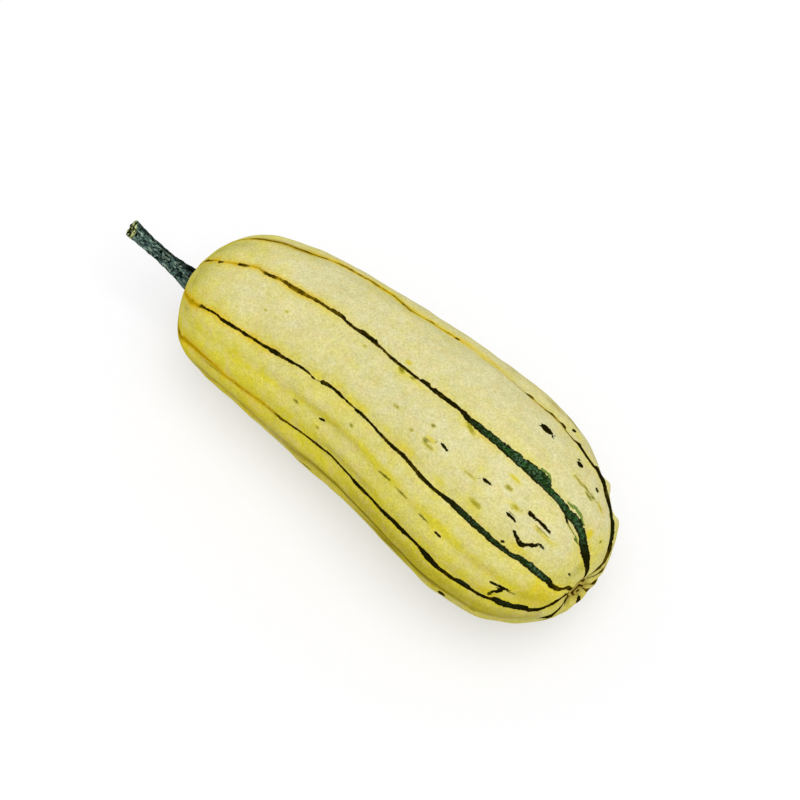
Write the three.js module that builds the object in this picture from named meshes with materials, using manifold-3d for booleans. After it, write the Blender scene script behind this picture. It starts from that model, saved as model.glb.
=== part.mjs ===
// A delicata squash lying on its side, with its stem.
// Millimetres, +Z up, blossom end towards +X. It rests on a flat ground spot at z = 0.

import * as THREE from 'three';
import { mergeVertices } from 'three/addons/utils/BufferGeometryUtils.js';
import Module from 'manifold-3d';

// ---- driving dimensions -------------------------------------------------------------------------

// The fruit's core line runs from the stem end to the blossom end.
// Each list below holds the control values of a Bezier curve from the stem end to the blossom end.
const FRUIT_LENGTH = 192.5;
const GIRTH = [28, 29, 42.5, 30, 39.5, 48, 36.5, 33]; // radius of the fruit
const SIDEWAYS_BEND = [-0.8, 6, 10, 11, 8, 2.5, 0]; // how far the core line bends towards +Y
const END_RISE = 15; // how fast the belly rises away from its lowest place, over the length squared
const LOWEST_PLACE = 0.55; // where the belly is lowest, as a share of the length

// Each end is rounded off over a share of the length. A higher fullness is a squarer shoulder.
const STEM_SHOULDER = { share: 0.17, fullness: 2.4 };
const BLOSSOM_SHOULDER = { share: 0.2, fullness: 2.7 };

// Ten furrows run from end to end. Each bearing is in degrees from straight up towards +Y.
const FURROW_BEARINGS = [
  [0, 9, -14, 18],
  [45, 50, 29, 65],
  [77, 77, 73, 88],
  [112, 111, 110, 116],
  [146, 146, 145, 147],
  [181, 181, 181, 181],
  [216, 216, 217, 214],
  [250, 252, 252, 244],
  [280, 290, 288, 284],
  [318, 330, 315, 327],
];
const FURROW_DEPTH = [0.7, 1.4, 1.6, 2.8]; // of a main furrow below the ribs beside it
const CREASE_SHARE = 0.4; // share of that depth which is a narrow crease, the rest is a broad valley
const CREASE_WIDTH = 3;
const MID_RIB_DENT = 0.55; // depth of the shallow groove along the middle of each rib
const MID_RIB_DENT_WIDTH = 3.2;
const BELLY_SMOOTHING = 0.75; // share of the relief that is lost on the underside
const BELLY_SPREAD = 35; // degrees to each side of straight down

// Both ends are dished. The dish floor is flat out to one radius and reaches the skin at another.
const STEM_DISH = { depth: 1, floor: 5.6, rim: 13 };
const BLOSSOM_DISH = { depth: 3.7, floor: 4.6, rim: 14 };
const BLOSSOM_SCAR = { height: 0.9, top: 2.6, foot: 4.4 };
const RELIEF_STARTS = 4; // the furrows fade in between these distances from the core line
const RELIEF_FULL = 13;

const GROUND_SPOT_CUT = 1.3; // how far above the belly's lowest line the flat spot lies

// The stem leaves the stem end along -X and bends upwards.
const STEM_LENGTH = 32;
const STEM_START_ANGLE = 2; // degrees above -X at the fruit
const STEM_END_ANGLE = 13; // degrees above -X at the cut
const STEM_THICKNESS = [9.6, 6, 5.2, 5.8, 6.4]; // control values, from the fruit to the cut
const STEM_RIDGES = 5;
const STEM_RIDGE_AT_FRUIT = 0.13; // height of a ridge as a share of the radius
const STEM_RIDGE_AT_CUT = 0.07;
const STEM_CUT_SLANT = { under: 0.4, side: 0.35 }; // slopes of the cut: longer below and towards +Y
const STEM_CUT_DISH = 0.5;
const STEM_SQUARE_FROM = 0.4; // share of the length over which the rings turn square to the stem
const STEM_SLANT_FROM = 0.6; // share of the length where the slant of the cut begins
const SEAT_GAP = 0.3; // between the stem and the fruit

// Mesh fineness.
const COLUMNS_PER_RIB = 9;
const SHOULDER_RINGS = 13;
const MIDDLE_RINGS = 23;
const RING_CROWDING = 1.3; // above 1, the rings crowd towards the two ends
const STEM_COLUMNS = 30;
const STEM_RINGS = 20;

// ---- small helpers ------------------------------------------------------------------------------

const UP = new THREE.Vector3(0, 0, 1);
const HALF_TURN = 180;
const FULL_TURN = 360;

// Value at t of the Bezier curve with these control values, by repeated halving of the list.
function bezier(controls, t) {
  let row = controls;
  while (row.length > 1) {
    row = row.slice(1).map((next, i) => THREE.MathUtils.lerp(row[i], next, t));
  }
  return row[0];
}

// A bell: 1 at distance 0, falling to about a third at one width.
function bell(distance, width) {
  return Math.exp(-((distance / width) ** 2));
}

// 1 on the floor of a dish, falling smoothly to 0 at its rim.
function dishShape(distance, floor, rim) {
  return 1 - THREE.MathUtils.smoothstep(distance, floor, rim);
}

// The directions across a line that heads this way: level to its left, and rising.
function crossFrame(ahead) {
  const side = new THREE.Vector3().crossVectors(UP, ahead).normalize();
  const rise = new THREE.Vector3().crossVectors(ahead, side).normalize();
  return { ahead, side, rise };
}

// One closed skin from rings of points, each ring drawn in to a single point at both ends.
function closedSkin(rings, startPoint, endPoint) {
  const columns = rings[0].length;
  const points = [startPoint, ...rings.flat(), endPoint];
  const last = points.length - 1;
  const at = (ring, column) => 1 + ring * columns + (column % columns);
  const faces = [];
  for (let column = 0; column < columns; column += 1) {
    faces.push(0, at(0, column), at(0, column + 1));
    for (let ring = 0; ring < rings.length - 1; ring += 1) {
      faces.push(at(ring, column), at(ring + 1, column), at(ring + 1, column + 1));
      faces.push(at(ring, column), at(ring + 1, column + 1), at(ring, column + 1));
    }
    faces.push(last, at(rings.length - 1, column + 1), at(rings.length - 1, column));
  }
  const geometry = new THREE.BufferGeometry().setFromPoints(points);
  geometry.setIndex(faces);
  return geometry;
}

// ---- the fruit's core line ----------------------------------------------------------------------

class CoreLine extends THREE.Curve {
  getPoint(t, target = new THREE.Vector3()) {
    const x = (t - 0.5) * FRUIT_LENGTH;
    const y = bezier(SIDEWAYS_BEND, t);
    const z = bezier(GIRTH, t) + END_RISE * (t - LOWEST_PLACE) ** 2;
    return target.set(x, y, z);
  }
}

// Point and directions of the core line at a share of its length.
function coreFrame(core, along) {
  return { centre: core.getPoint(along), ...crossFrame(core.getTangent(along)) };
}

// ---- the fruit's skin ---------------------------------------------------------------------------

// Bearing of a column in degrees: the columns follow the furrows, evenly spread between two of them.
function columnBearing(column, along) {
  const count = FURROW_BEARINGS.length;
  const rib = Math.floor(column / COLUMNS_PER_RIB);
  const across = (column % COLUMNS_PER_RIB) / COLUMNS_PER_RIB;
  const from = bezier(FURROW_BEARINGS[rib], along);
  const wrap = rib + 1 < count ? 0 : FULL_TURN;
  const to = bezier(FURROW_BEARINGS[(rib + 1) % count], along) + wrap;
  return { bearing: THREE.MathUtils.lerp(from, to, across), across, ribAngle: to - from };
}

// How far the skin lies below the tops of the ribs.
function furrowRelief(along, across, ribAngle, bearing, distance) {
  const ribWidth = THREE.MathUtils.degToRad(ribAngle) * distance;
  const toFurrow = Math.min(across, 1 - across) * ribWidth;
  const toMidRib = Math.abs(across - 0.5) * ribWidth;
  const valley = 0.5 + 0.5 * Math.cos(2 * Math.PI * across);
  const furrow = (1 - CREASE_SHARE) * valley + CREASE_SHARE * bell(toFurrow, CREASE_WIDTH);
  const dent = MID_RIB_DENT * bell(toMidRib, MID_RIB_DENT_WIDTH);
  const belly = 1 - BELLY_SMOOTHING * bell(bearing - HALF_TURN, BELLY_SPREAD);
  const fade = THREE.MathUtils.smoothstep(distance, RELIEF_STARTS, RELIEF_FULL);
  return (bezier(FURROW_DEPTH, along) * furrow + dent) * belly * fade;
}

// How far the skin is pushed along the core line at the two ends: the dishes and the blossom scar.
function endPush(along, distance) {
  if (along < 0.5) {
    return STEM_DISH.depth * dishShape(distance, STEM_DISH.floor, STEM_DISH.rim);
  }
  const dish = BLOSSOM_DISH.depth * dishShape(distance, BLOSSOM_DISH.floor, BLOSSOM_DISH.rim);
  const scar = BLOSSOM_SCAR.height * dishShape(distance, BLOSSOM_SCAR.top, BLOSSOM_SCAR.foot);
  return scar - dish;
}

// Where the rings of points lie along the core line, and the share of the full girth at each.
// A shoulder is a superellipse: share of girth and share of length left, to a power, add up to one.
function ringStations() {
  const shoulder = ({ share, fullness }, step) => {
    const turn = (Math.PI / 2) * (step / SHOULDER_RINGS) ** RING_CROWDING;
    const swell = Math.sin(turn);
    const along = share * (1 - (1 - swell ** fullness) ** (1 / fullness));
    return { along, swell };
  };
  const stations = [];
  for (let step = 1; step <= SHOULDER_RINGS; step += 1) {
    stations.push(shoulder(STEM_SHOULDER, step));
  }
  const middleEnd = 1 - BLOSSOM_SHOULDER.share;
  for (let step = 1; step < MIDDLE_RINGS; step += 1) {
    const along = THREE.MathUtils.lerp(STEM_SHOULDER.share, middleEnd, step / MIDDLE_RINGS);
    stations.push({ along, swell: 1 });
  }
  for (let step = SHOULDER_RINGS; step >= 1; step -= 1) {
    const { along, swell } = shoulder(BLOSSOM_SHOULDER, step);
    stations.push({ along: 1 - along, swell });
  }
  return stations;
}

function fruitRing(core, { along, swell }) {
  const { centre, ahead, side, rise } = coreFrame(core, along);
  const distance = bezier(GIRTH, along) * swell;
  const ring = [];
  for (let column = 0; column < FURROW_BEARINGS.length * COLUMNS_PER_RIB; column += 1) {
    const { bearing, across, ribAngle } = columnBearing(column, along);
    const radius = distance - furrowRelief(along, across, ribAngle, bearing, distance);
    const angle = THREE.MathUtils.degToRad(bearing);
    const point = centre.clone();
    point.addScaledVector(rise, radius * Math.cos(angle));
    point.addScaledVector(side, radius * Math.sin(angle));
    point.addScaledVector(ahead, endPush(along, distance));
    ring.push(point);
  }
  return ring;
}

function endPoint(core, along) {
  const { centre, ahead } = coreFrame(core, along);
  return centre.addScaledVector(ahead, endPush(along, 0));
}

// ---- joining and cutting ------------------------------------------------------------------------

const wasm = await Module();
wasm.setup();

function toSolid(geometry) {
  const bare = geometry.clone();
  bare.deleteAttribute('normal');
  bare.deleteAttribute('uv');
  const merged = mergeVertices(bare);
  const vertProperties = Float32Array.from(merged.attributes.position.array);
  const triVerts = Uint32Array.from(merged.index.array);
  return new wasm.Manifold(new wasm.Mesh({ numProp: 3, vertProperties, triVerts }));
}

function toGeometry(solid) {
  const mesh = solid.getMesh();
  const geometry = new THREE.BufferGeometry();
  geometry.setAttribute('position', new THREE.BufferAttribute(mesh.vertProperties, 3));
  geometry.setIndex(new THREE.BufferAttribute(mesh.triVerts, 1));
  return geometry;
}

// The ground spot: everything below z = 0 is cut away.
function cutGroundSpot(geometry) {
  const size = 2 * FRUIT_LENGTH;
  const ground = new THREE.BoxGeometry(size, size, size).translate(0, 0, -size / 2);
  return toGeometry(toSolid(geometry).subtract(toSolid(ground)));
}

// ---- the pieces ---------------------------------------------------------------------------------

function makeFruit(core) {
  const rings = ringStations().map((station) => fruitRing(core, station));
  const skin = closedSkin(rings, endPoint(core, 0), endPoint(core, 1));
  skin.translate(0, 0, -GROUND_SPOT_CUT);
  const rind = new THREE.MeshStandardMaterial({ color: '#dcd792', roughness: 0.55, metalness: 0 });
  const fruit = new THREE.Mesh(cutGroundSpot(skin), rind);
  fruit.name = 'fruit';
  return fruit;
}

// The stem's middle line: its direction turns evenly from its start angle to its end angle.
function makeStemLine(start) {
  const middleAngle = (STEM_START_ANGLE + STEM_END_ANGLE) / 2;
  const points = [start];
  for (const degrees of [STEM_START_ANGLE, middleAngle, STEM_END_ANGLE]) {
    const angle = THREE.MathUtils.degToRad(degrees);
    const step = new THREE.Vector3(-Math.cos(angle), 0, Math.sin(angle));
    points.push(points.at(-1).clone().addScaledVector(step, STEM_LENGTH / 3));
  }
  return new THREE.CubicBezierCurve3(...points);
}

// A ring of the stem. The first one lies flat on the fruit, and they soon turn square to the line.
function stemRing(line, seatNormal, along) {
  const square = THREE.MathUtils.smoothstep(along, 0, STEM_SQUARE_FROM);
  const heading = seatNormal.clone().lerp(line.getTangent(along), square).normalize();
  const { side, rise } = crossFrame(heading);
  const radius = bezier(STEM_THICKNESS, along) / 2;
  const ridge = THREE.MathUtils.lerp(STEM_RIDGE_AT_FRUIT, STEM_RIDGE_AT_CUT, along);
  const slant = THREE.MathUtils.smoothstep(along, STEM_SLANT_FROM, 1);
  const ring = [];
  for (let column = 0; column < STEM_COLUMNS; column += 1) {
    const angle = (2 * Math.PI * column) / STEM_COLUMNS;
    const reach = radius * (1 + ridge * Math.cos(STEM_RIDGES * angle));
    const height = reach * Math.cos(angle);
    const sideways = reach * Math.sin(angle);
    const slope = STEM_CUT_SLANT.under * height + STEM_CUT_SLANT.side * sideways;
    const point = line.getPoint(along);
    point.addScaledVector(rise, height);
    point.addScaledVector(side, sideways);
    point.addScaledVector(heading, -slant * slope);
    ring.push(point);
  }
  return ring;
}

function makeStem(core) {
  const { centre, ahead } = coreFrame(core, 0);
  const start = centre.addScaledVector(ahead, STEM_DISH.depth - SEAT_GAP);
  const line = makeStemLine(start);
  const seatNormal = ahead.clone().negate();
  const rings = [];
  for (let ring = 0; ring <= STEM_RINGS; ring += 1) {
    rings.push(stemRing(line, seatNormal, ring / STEM_RINGS));
  }
  const cutCentre = line.getPoint(1).addScaledVector(line.getTangent(1), -STEM_CUT_DISH);
  const skin = closedSkin(rings, start, cutCentre);
  skin.translate(0, 0, -GROUND_SPOT_CUT);
  const bark = new THREE.MeshStandardMaterial({ color: '#3f5a52', roughness: 0.75, metalness: 0 });
  const stem = new THREE.Mesh(skin, bark);
  stem.name = 'stem';
  return stem;
}

// ---- assembly -----------------------------------------------------------------------------------

const core = new CoreLine();
const squash = new THREE.Group();
squash.add(makeFruit(core), makeStem(core));

// The origin is on the ground, under the middle of the whole squash.
const middle = new THREE.Box3().setFromObject(squash).getCenter(new THREE.Vector3());
squash.position.set(-middle.x, -middle.y, 0);

export default squash;
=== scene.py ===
"""A delicata squash with its stem, dressed for pictures.

The CAD model gives the size and the place. The fruit and the stem are worked out again on finer
grids, with the stripes, flecks, scar and bark that the plain solids leave out.
Lengths in the formulas are millimetres. The meshes are in metres.
"""

import math

import bpy
import numpy as np
from bpy.props import FloatProperty, FloatVectorProperty, PointerProperty
from bpy.types import Operator, Panel, PropertyGroup
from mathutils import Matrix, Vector


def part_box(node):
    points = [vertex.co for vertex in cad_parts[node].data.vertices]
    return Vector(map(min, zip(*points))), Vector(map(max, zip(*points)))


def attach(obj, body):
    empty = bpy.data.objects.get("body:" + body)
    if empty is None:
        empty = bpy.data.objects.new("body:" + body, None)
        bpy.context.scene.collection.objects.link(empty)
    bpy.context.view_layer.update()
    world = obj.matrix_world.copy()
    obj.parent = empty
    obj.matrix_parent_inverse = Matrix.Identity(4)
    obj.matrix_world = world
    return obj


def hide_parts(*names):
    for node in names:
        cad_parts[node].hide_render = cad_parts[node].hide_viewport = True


bl_info = {
    "name": "Delicata Squash",
    "version": (1, 0, 0),
    "blender": (4, 5, 0),
    "location": "3D View > Sidebar > Squash",
    "description": "Builds a striped delicata squash and its stem around the packed model",
    "category": "Add Mesh",
}

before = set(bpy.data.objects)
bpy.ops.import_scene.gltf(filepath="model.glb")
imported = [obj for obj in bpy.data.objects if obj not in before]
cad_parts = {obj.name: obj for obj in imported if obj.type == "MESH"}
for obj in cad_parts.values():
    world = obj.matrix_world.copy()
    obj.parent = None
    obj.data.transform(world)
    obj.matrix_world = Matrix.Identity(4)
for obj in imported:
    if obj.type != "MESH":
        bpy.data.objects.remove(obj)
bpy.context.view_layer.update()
FRUIT_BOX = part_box("fruit")

MM = 0.001

# ---- the fruit's shape, with the solid's values as far as the scar ------------------------------

FRUIT_LENGTH = 192.5
GIRTH = (28, 29, 42.5, 30, 39.5, 48, 36.5, 33)
SIDEWAYS_BEND = (-0.8, 6, 10, 11, 8, 2.5, 0)
END_RISE = 15
LOWEST_PLACE = 0.55
STEM_SHOULDER = (0.17, 2.4)
BLOSSOM_SHOULDER = (0.2, 2.7)
FURROW_BEARINGS = (
    (0, 9, -14, 18),
    (45, 50, 29, 65),
    (77, 77, 73, 88),
    (112, 111, 110, 116),
    (146, 146, 145, 147),
    (181, 181, 181, 181),
    (216, 216, 217, 214),
    (250, 252, 252, 244),
    (280, 290, 288, 284),
    (318, 330, 315, 327),
)
RIBS = len(FURROW_BEARINGS)
FURROW_DEPTH = (0.7, 1.4, 1.6, 2.8)
CREASE_SHARE = 0.4
CREASE_WIDTH = 3
MID_RIB_DENT_WIDTH = 3.2
BELLY_SMOOTHING = 0.75
BELLY_SPREAD = 35
STEM_DISH = (1, 5.6, 13)
BLOSSOM_DISH = (3.7, 4.6, 14)
BLOSSOM_SCAR = (0.9, 2.6, 4.4)
RELIEF_STARTS = 4
RELIEF_FULL = 13
GROUND_SPOT_CUT = 1.3

# How strong the groove along the middle of each rib is, rib by rib from the first furrow.
MID_RIB_STRENGTH = (0.6, 0.8, 1, 1, 1, 1, 1.2, 1.7, 1.5, 0.5)

# Slow waves of the skin: how many along the fruit, how many round it, height and phase.
SKIN_WAVES = (
    (2.6, 3, 0.16, 0.4), (5.3, -4, 0.10, 2.0), (9.7, 7, 0.07, 1.1),
    (15.1, -12, 0.05, 5.0), (21.0, 17, 0.04, 3.3),
)
WAVES_FADE_IN = (4, 18)

# The tables below hold mostly whole numbers: a place along the fruit in thousandths of its length,
# a place round it in hundredths of a rib counted from the first furrow, widths in tenths of a
# millimetre, and amounts in hundredths. These are the numbers that each column is divided by.
PER_LENGTH, PER_RIB, PER_MM, PERCENT = 1000, 100, 10, 100

# Swells and hollows: place along and round, length and width in millimetres, height in tenths.
SWELLS = (
    (30, 1030, 22, 14, -15), (60, 1075, 22, 14, -11), (110, 1125, 34, 22, 8),
    (190, 1140, 36, 22, 4), (30, 835, 16, 12, -8), (55, 745, 20, 16, 13), (160, 720, 34, 20, -13),
    (240, 710, 30, 16, -8), (400, 690, 14, 14, 11), (320, 1150, 20, 14, -4),
    (600, 1160, 30, 18, -1), (750, 1160, 22, 16, 4), (860, 1150, 26, 18, -18),
    (915, 1150, 22, 18, -24), (893, 1138, 6, 9, 27), (953, 1138, 7, 11, 20), (974, 1136, 8, 11, 9),
    (912, 1112, 10, 9, 5), (835, 1100, 34, 7, 9), (835, 1075, 30, 8, -6), (905, 1106, 36, 9, 11),
    (966, 800, 18, 6, 9), (963, 700, 20, 7, 9), (910, 1225, 20, 24, -11), (970, 700, 24, 16, -9),
    (970, 600, 14, 10, -7), (140, 1135, 16, 14, -5), (490, 1150, 14, 14, -4),
    (610, 1150, 20, 16, -4.5), (790, 1160, 14, 14, 4.5), (820, 1160, 14, 14, 2),
    (540, 700, 26, 22, -6), (620, 728, 22, 12, -3.5), (715, 729, 18, 12, -7.5),
    (800, 730, 10, 12, 4.5), (855, 700, 16, 20, -5), (905, 674, 8, 12, 3.5), (930, 670, 10, 12, -4),
    (970, 660, 8, 10, -6), (150, 690, 14, 16, -5), (250, 675, 26, 14, 3), (390, 700, 14, 18, -3.5),
    (50, 760, 8, 10, 4), (994, 535, 5, 6, -10), (993, 610, 4, 5, -6), (15, 855, 7, 16, -8),
    (20, 1035, 7, 14, -6),
)
SWELL_UNITS = (PER_LENGTH, PER_RIB, 1, 1, PER_MM)
SWELLS_FADE_IN = (2, 9)

# The pucker at the blossom end against the plain solid's: how much it bulges out along the core
# line, how far it sits lower, where it fades out, and its folds (depth, middle, spread).
PUCKER_RISE = 1.2
PUCKER_DROP = 1.3
PUCKER_REACH = (4.6, 20)
PUCKER_FOLDS = (0.8, 8.0, 4.2)

COLUMNS_PER_RIB = 32
RINGS = 299

# ---- the stem's shape, a little slimmer in the middle than the solid's --------------------------

STEM_LENGTH = 32
STEM_ANGLES = (2, 7.5, 13)
STEM_THICKNESS = (9.6, 5.8, 4.4, 5.6, 6.6)
STEM_RIDGES = 5
STEM_RIDGE_SHARES = (0.13, 0.07)
STEM_SLANT_UNDER = 0.4
STEM_SLANT_SIDE = 0.35
STEM_CUT_DISH = 0.5
STEM_SQUARE_FROM = 0.4
STEM_SLANT_FROM = 0.6
STEM_LEAN = np.array([-0.9, -0.4, 0.1])
STEM_LEAN_FROM = 0.2
STEM_COLUMNS = 180
STEM_RINGS = 150
CUT_RINGS = 26

# The pale rim of the cut end: where it begins and is full, in millimetres from the tip, on the lit
# side and on the shaded side, where it is narrower as painted shade.
CUT_RIM_LIT, CUT_RIM_SHADED = (-3.4, -0.8), (-1.0, -0.2)
# The shaded side and the far edge, where the bark gets painted shade, lie at minus these angles
# round the stem, in radians.
SHADED_SIDE, FAR_EDGE = 1.05, 1.4

# ---- the markings -------------------------------------------------------------------------------

# One list for each furrow. A knot is: place along, width of the stripe in tenths of a millimetre,
# sideways offset in hundredths of a rib, and tone (0 orange-brown, 100 brown-black, 200 green).
KNOT_UNITS = (PER_LENGTH, PER_MM, PER_RIB, PERCENT)
STRIPES = {
    0: (
        (0, 0, 20, 0), (20, 10, 16, 40), (40, 13, 8, 70), (55, 11, 1, 30), (77, 11, -2, 30),
        (81, 15, -6, 75), (90, 13, -7.5, 75), (95, 10, -5, 0), (124, 16, -3, 10),
        (128, 17, -2.5, 85), (141, 13, -1, 85), (150, 10, 2, 20), (165, 12, 4, 20),
        (178, 10, 2, 40), (184, 14, 1, 70), (204, 15, 2, 80), (212, 10, 3, 40), (224, 14, 3, 75),
        (240, 20, 2, 65), (262, 20, 2, 75), (275, 14, 2, 60), (290, 12, 3, 70), (310, 11, 3, 75),
        (333, 12, 3, 90), (338, 17, 4, 95), (366, 16, 3.5, 90), (374, 12, 1, 90), (405, 12, 0, 95),
        (414, 19, 2, 95), (452, 19, 2, 90), (458, 12, 0, 70), (470, 11, 0, 80), (490, 11, -2, 85),
        (498, 14, -3, 95), (520, 14, -4, 90), (572, 13, -4, 95), (575, 5, -4, 80),
        (578, 17, -2, 100), (597, 19, -1, 105), (602, 13, -4, 100), (608, 21, -2, 105),
        (630, 21, -2, 105), (655, 20, -1, 105), (668, 15, 0, 100), (678, 19, -1, 105),
        (690, 27, -3, 115), (702, 30, -3, 140), (720, 33, -3, 160), (760, 35, -1.2, 180),
        (800, 44, -0.4, 200), (825, 52, 1.6, 200), (847, 48, 1.6, 200), (858, 34, -1.6, 200),
        (872, 30, -0.5, 200), (890, 32, -1.2, 200), (905, 37, -2, 200), (930, 40, 1, 200),
        (945, 36, -1, 190), (955, 49, -6, 150), (970, 52, -9, 120), (982, 44, -8, 110),
        (990, 34, -6, 110), (993, 24, -12, 100), (995, 16, -22, 90), (997.5, 8, -35, 80),
        (1000, 0, -40, 80),
    ),
    1: (
        (0, 0, -10, 30), (70, 14, -20, 50), (100, 18, -24, 45), (130, 20, -25, 50),
        (160, 16, -22, 45), (180, 20, -17, 50), (195, 26, -13, 50), (212, 28, -11, 50),
        (230, 20, -6, 45), (245, 14, 0, 35), (252, 18, 5, 25), (270, 18, 8.5, 40), (285, 16, 9, 45),
        (300, 16, 10, 40), (345, 18, 9, 35), (380, 18, 7, 35), (395, 19, 4, 40), (405, 22, 1, 50),
        (420, 24, -6, 30), (435, 30, -12, 30), (447, 24, -10, 25), (460, 14, -3, 15),
        (475, 22, 1, 40), (490, 14, 1, 20), (515, 14, 4, 25), (527, 10, 5, 30), (531, 16, 5, 80),
        (536, 14, 5, 70), (540, 6, 7, 10), (548, 0, 8, 5), (640, 0, 0, 10), (670, 7, -7, 30),
        (695, 10, -8, 40), (699, 30, -3, 60), (711, 28, -5, 60), (716, 14, -5, 30),
        (732, 18, -4, 40), (742, 15, -2, 40), (748, 22, 1, 60), (755, 18, -1, 50),
        (767, 16, -4, 50), (771, 26, 0, 85), (780, 24, -2, 90), (784, 12, -7, 50),
        (806, 11, -10, 60), (813, 32, -6, 100), (822, 26, -8, 100), (840, 20, -11, 100),
        (858, 22, -10, 100), (865, 76, 2, 100), (876, 74, 1, 110), (883, 58, -2, 110),
        (894, 40, -6, 110), (901, 34, -10, 100), (910, 46, -12, 100), (922, 64, -8, 110),
        (935, 58, -5, 120), (947, 48, -9.5, 120), (957, 52, -9.5, 120), (968, 58, -8, 120),
        (975, 46, -6.5, 110), (979, 46, -3, 100), (983, 38, 13, 85), (986, 32, 18, 75),
        (989.5, 32, 14, 75), (992, 34, -6, 85), (993, 34, -22, 85), (995, 30, -36, 85),
        (996.5, 20, -35, 75), (998, 6, -20, 70), (1000, 0, 0, 70),
    ),
    9: (
        (0, 0, 0, 0), (30, 20, -2, 0), (70, 26, -4, 10), (95, 16, -2, 20), (100, 10, 0, 90),
        (115, 8, 0, 90), (130, 11, 1, 100), (145, 9, 0, 100), (155, 12, -3, 100),
        (175, 14, -4, 100), (200, 11, -4, 100), (220, 11, -5, 100), (260, 11, -5, 100),
        (278, 12, -4, 110), (284, 18, -4, 110), (300, 17, -3, 110), (310, 14, -3, 100),
        (340, 11, -1, 100), (360, 12, 1, 100), (380, 9, 1, 100), (395, 9, -1, 90), (402, 2, -1, 60),
        (412, 4, 2, 80), (416, 18, 3, 100), (428, 14, 5, 100), (450, 14, 6, 100), (472, 14, 5, 100),
        (478, 9, 5, 100), (490, 10, 5, 90), (510, 6, 4, 70), (518, 15, 4, 100), (540, 15, 4, 100),
        (560, 11, 3, 100), (580, 11, 1, 100), (610, 11, 0, 100), (625, 16, -1, 100),
        (650, 16, 0, 100), (670, 17, -1, 90), (700, 15, -4, 90), (730, 13, -5, 110),
        (750, 16, -3.5, 110), (770, 22, -1.5, 120), (800, 25, -0.8, 145), (835, 26, -0.8, 150),
        (860, 22, -1, 150), (895, 19, 0, 140), (910, 25, 3.5, 160), (930, 29, 4, 170),
        (950, 30, 1, 180), (965, 27, -1.5, 130), (972, 23, -6, 100), (979, 20, -11, 90),
        (986, 19, -11, 90), (990, 24, 6, 90), (993, 20, 7, 90), (997, 14, 14, 90),
        (998.5, 4, 20, 90), (1000, 0, 20, 80),
    ),
    8: (
        (0, 0, 0, 20), (45, 16, -10, 35), (62, 16, -8, 35), (70, 30, 0, 0), (100, 32, 8, 0),
        (140, 26, 10, 5), (180, 16, 5, 10), (200, 10, -1, 20), (325, 10, -2, 30), (345, 11, -3, 50),
        (360, 13, -4, 75), (378, 12, -2, 80), (400, 10, 0, 80), (440, 12, 2, 90), (460, 16, 4, 100),
        (510, 17, 6, 90), (570, 16, 4, 90), (580, 23, 1, 105), (615, 23, 1, 105), (625, 16, 0, 100),
        (655, 16, -1, 100), (665, 23, -1, 110), (725, 23, -1, 110), (735, 18, 0, 100),
        (765, 18, -1, 100), (775, 25, -2, 110), (785, 29, -3, 110), (800, 26, -5, 110),
        (815, 19, -7, 100), (840, 16, -6, 90), (848, 18, -5, 100), (856, 30, -1, 125),
        (874, 33, 1, 130), (879, 19, -2, 100), (885, 16, -3, 100), (905, 17, -2, 100),
        (914, 21, 0, 100), (920, 42, 6, 110), (926, 50, 7, 125), (935, 48, 5, 125),
        (943, 50, 7, 130), (949, 40, 5, 120), (957, 48, 9, 120), (966, 40, 9, 115),
        (971, 30, 1, 100), (980, 28, 0, 100), (984, 28, 4, 100), (986, 28, 12, 100),
        (988, 30, 18, 100), (990, 32, 32, 100), (992, 34, 45, 100), (993, 32, 60, 100),
        (994, 26, 75, 100), (996, 10, 85, 90), (1000, 0, 90, 90),
    ),
    7: (
        (0, 0, 0, 10), (80, 12, 0, 20), (200, 9, 0, 50), (360, 9, -3, 90), (420, 14, -2, 100),
        (520, 11, 0, 100), (600, 16, 2, 100), (680, 12, 0, 100), (740, 19, -2, 110),
        (820, 15, 0, 110), (880, 23, 0, 130), (930, 26, 2, 120), (960, 26, 3, 100),
        (978, 24, 3, 100), (983, 26, -8, 100), (986, 30, -22, 100), (988, 36, -20, 100),
        (990, 40, -13, 100), (992, 44, 20, 100), (994, 40, 42, 100), (996, 30, 45, 90),
        (997.5, 26, 20, 90), (999, 20, -50, 90), (1000, 20, -60, 90),
    ),
}
# The stripes of the far side are seeded, each with this many knots.
HIDDEN_STRIPES = (2, 3, 4, 5, 6)
HIDDEN_STRIPES_SEED = 11
HIDDEN_KNOTS = 30
# Only their last knots, beside the blossom scar, are listed.
TAILS = {
    2: (
        (985, 26, 10, 100), (993, 30, 10, 90), (994.5, 32, -22, 90), (996, 22, -15, 90),
        (997.5, 4, -10, 90), (1000, 0, 0, 90),
    ),
    3: (
        (985, 26, 5, 100), (993, 30, 6, 80), (995, 30, 20, 80), (996.5, 14, 30, 70),
        (997.5, 2, 30, 70), (1000, 0, 30, 70),
    ),
    4: (
        (985, 26, 0, 100), (994, 26, -5, 70), (996.5, 20, -10, 70), (997.5, 4, -10, 70),
        (1000, 0, -10, 70),
    ),
    5: (
        (985, 24, 0, 100), (994, 22, -18, 110), (996.5, 20, -26, 110), (997.6, 14, -34, 100),
        (998.2, 2, -40, 100), (1000, 0, -40, 100),
    ),
    6: (
        (975, 22, 0, 100), (985, 10, 0, 90), (990, 0, 0, 90), (1000, 0, 0, 90),
    ),
}

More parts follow.
